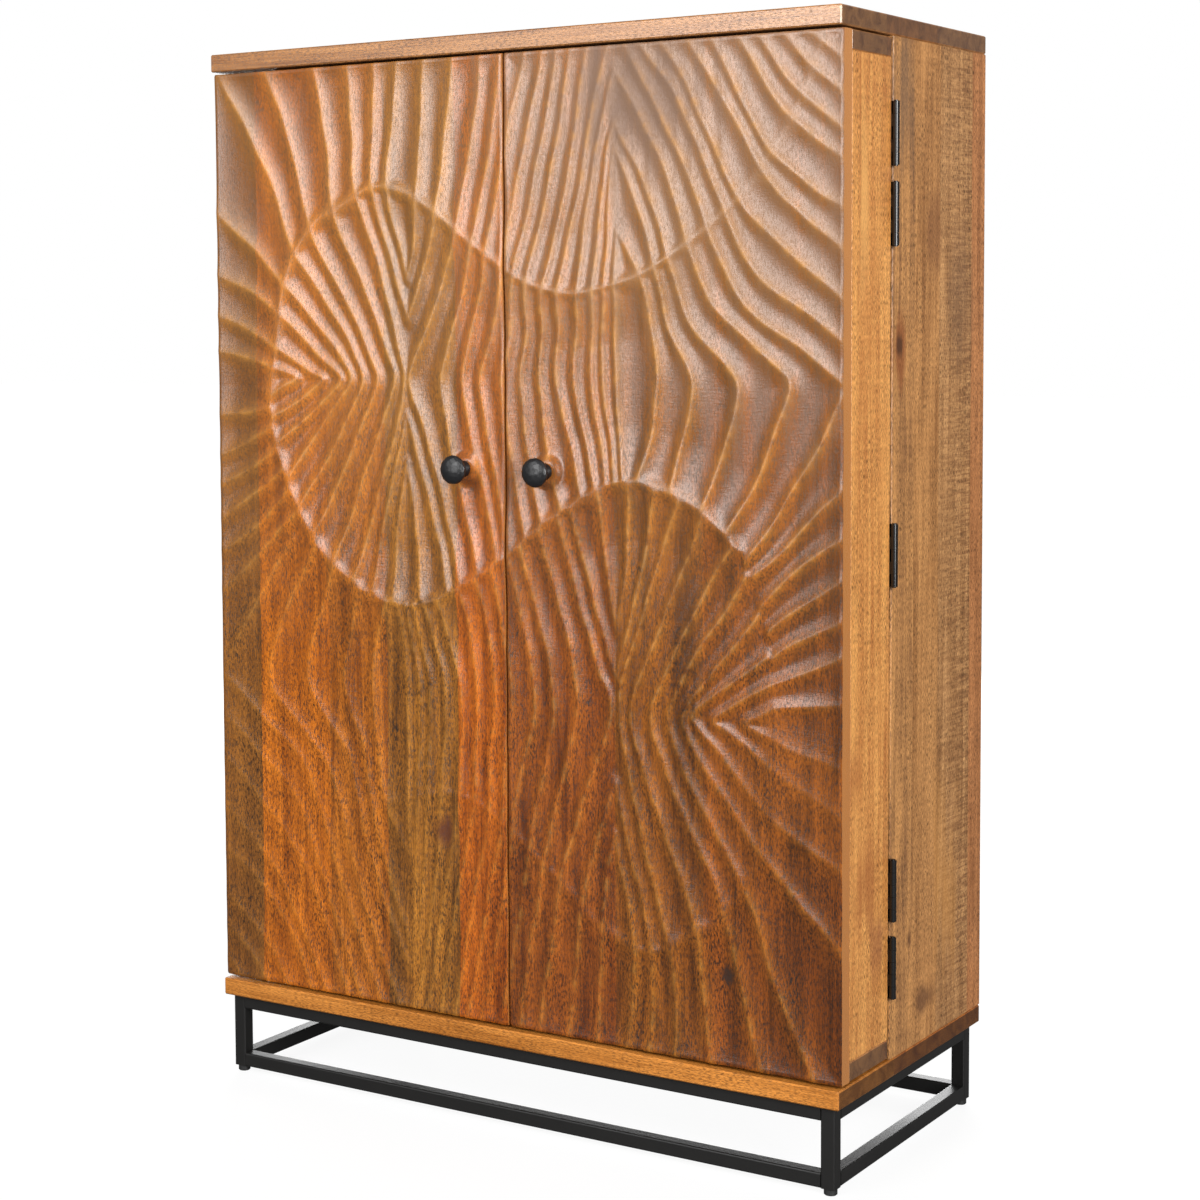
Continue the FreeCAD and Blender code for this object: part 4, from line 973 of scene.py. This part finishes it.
knob(-1, "left_knob", "left_door")
knob(1, "right_knob", "right_door")

# %% [markdown]
# ## Floor
#
# The photograph is a plain studio view on white, with hardly a shadow. The floor is a dull sheet that takes
# a faint one, and it glows white to the camera, a little less near the cabinet. What a gloss mirrors of it
# is kept weak, so that no white veil lies on the lower doors.

# %% Floor
FLOOR_SIZE = 40
FLOOR_TONE = "#4a4a4a"
FLOOR_ROUGHNESS = 0.9
FLOOR_GLOW = 0.9
# Distances in metres from the middle between which the glow grows to full white
GLOW_REACH = (0.8, 3)
MIRROR_SHARE = 0.1
WHITE = (1, 1, 1, 1)


def background_share(tree):
    """1 where the camera looks straight at it, and a part of that where a gloss or glass shows it."""
    rays = add_node(tree, "LightPath").outputs
    mirrored = add_node(tree, "Math", {0: rays["Is Glossy Ray"], 1: rays["Is Transmission Ray"]},
                        operation="MAXIMUM").outputs[0]
    return add_node(tree, "Math", {0: mirrored, 1: MIRROR_SHARE, 2: rays["Is Camera Ray"]},
                    operation="MULTIPLY_ADD", use_clamp=True).outputs[0]


floor_material, floor_tree, floor_shader = new_material("studio_floor")
floor_shader.inputs["Base Color"].default_value = linear(FLOOR_TONE)
floor_shader.inputs["Roughness"].default_value = FLOOR_ROUGHNESS
floor_shader.inputs["Emission Color"].default_value = WHITE
floor_place = add_node(floor_tree, "TexCoord").outputs["Object"]
floor_far = add_node(floor_tree, "VectorMath", {0: floor_place}, operation="LENGTH")
floor_white = add_node(floor_tree, "MapRange",
                       {0: floor_far.outputs["Value"], 1: GLOW_REACH[0], 2: GLOW_REACH[1],
                        3: FLOOR_GLOW, 4: 1})
floor_glow = add_node(floor_tree, "Math",
                      {0: background_share(floor_tree), 1: floor_white.outputs[0]}, operation="MULTIPLY")
floor_tree.links.new(floor_glow.outputs[0], floor_shader.inputs["Emission Strength"])
bpy.ops.mesh.primitive_plane_add(size=FLOOR_SIZE)
floor = bpy.context.object
floor.name = "studio_floor"
floor.data.materials.append(floor_material)
print("floor", FLOOR_SIZE, "m wide")

# %% [markdown]
# ## Light
#
# Two soft lights stand one behind the other in front: a bright middle, and a wider, dimmer one round it, so
# that the sheen on the carving fades softly at its rim. A tall light at the right shows the side, a low one
# behind lights the back, and a dim white sky fills the rest. The camera sees a white sky.

# %% Light
SKY_STRENGTH = 0.2
scene = bpy.context.scene
world = bpy.data.worlds.new("studio")
scene.world = world
world.use_nodes = True
sky_tree = world.node_tree
sky = sky_tree.nodes["Background"]
sky.inputs["Color"].default_value = WHITE
sky.inputs["Strength"].default_value = SKY_STRENGTH
seen = add_node(sky_tree, "Background", {"Color": WHITE, "Strength": 1.0})
mixed = add_node(sky_tree, "MixShader",
                 {0: background_share(sky_tree), 1: sky.outputs[0], 2: seen.outputs[0]})
sky_tree.links.new(mixed.outputs[0], sky_tree.nodes["World Output"].inputs["Surface"])


def soft_light(name, place, aim, width, height, power):
    """A rectangular soft light at a place, turned to face the aim; metres and watts."""
    bpy.ops.object.light_add(type="AREA", location=place)
    light = bpy.context.object
    light.name = name
    light.data.shape = "RECTANGLE"
    light.data.size = width
    light.data.size_y = height
    light.data.energy = power
    way = np.array(aim) - np.array(place)
    flat = math.hypot(way[0], way[1])
    light.rotation_euler = (math.atan2(flat, -way[2]), 0, math.atan2(-way[0], way[1]))
    print(name, power, "W")


soft_light("front_light", place=(-0.4, -3.0, 1.7), aim=(0, 0, 1.0), width=1.4, height=1.6, power=38)
soft_light("front_rim", place=(-0.56, -3.05, 1.75), aim=(0, 0, 1.0), width=2.8, height=2.4, power=66)
soft_light("rear_light", place=(-1.4, 3.0, 0.75), aim=(0, 0, 0.7), width=2.4, height=1.2, power=85)
soft_light("side_light", place=(2.9, -1.75, 1.45), aim=(0, 0, 0.7), width=1.2, height=2.2, power=148)

# %% [markdown]
# ## Camera
#
# The camera was fitted to the corners of the cabinet in the photograph. It looks at the front and the right
# side from a little above the middle, slightly downwards, and its lens is shifted so that the cabinet lies
# in the frame as it does there.

# %% Camera
CAMERA_PLACE = (1.441, -2.3785, 0.9065)
DOWNWARDS = 4.055
ROLL = 0.443
TO_THE_LEFT = 33.678
LENS = 73.23
SENSOR = 36
SHIFT = (0.101, -0.10)

camera_data = bpy.data.cameras.new("photo_camera")
camera = bpy.data.objects.new("photo_camera", camera_data)
scene.collection.objects.link(camera)
scene.camera = camera
camera.location = CAMERA_PLACE
camera.rotation_euler = [math.radians(angle) for angle in (90 - DOWNWARDS, ROLL, TO_THE_LEFT)]
camera_data.sensor_width = SENSOR
camera_data.lens = LENS
camera_data.shift_x, camera_data.shift_y = SHIFT
scene.view_settings.view_transform = "Standard"
print("camera", LENS, "mm at", CAMERA_PLACE)
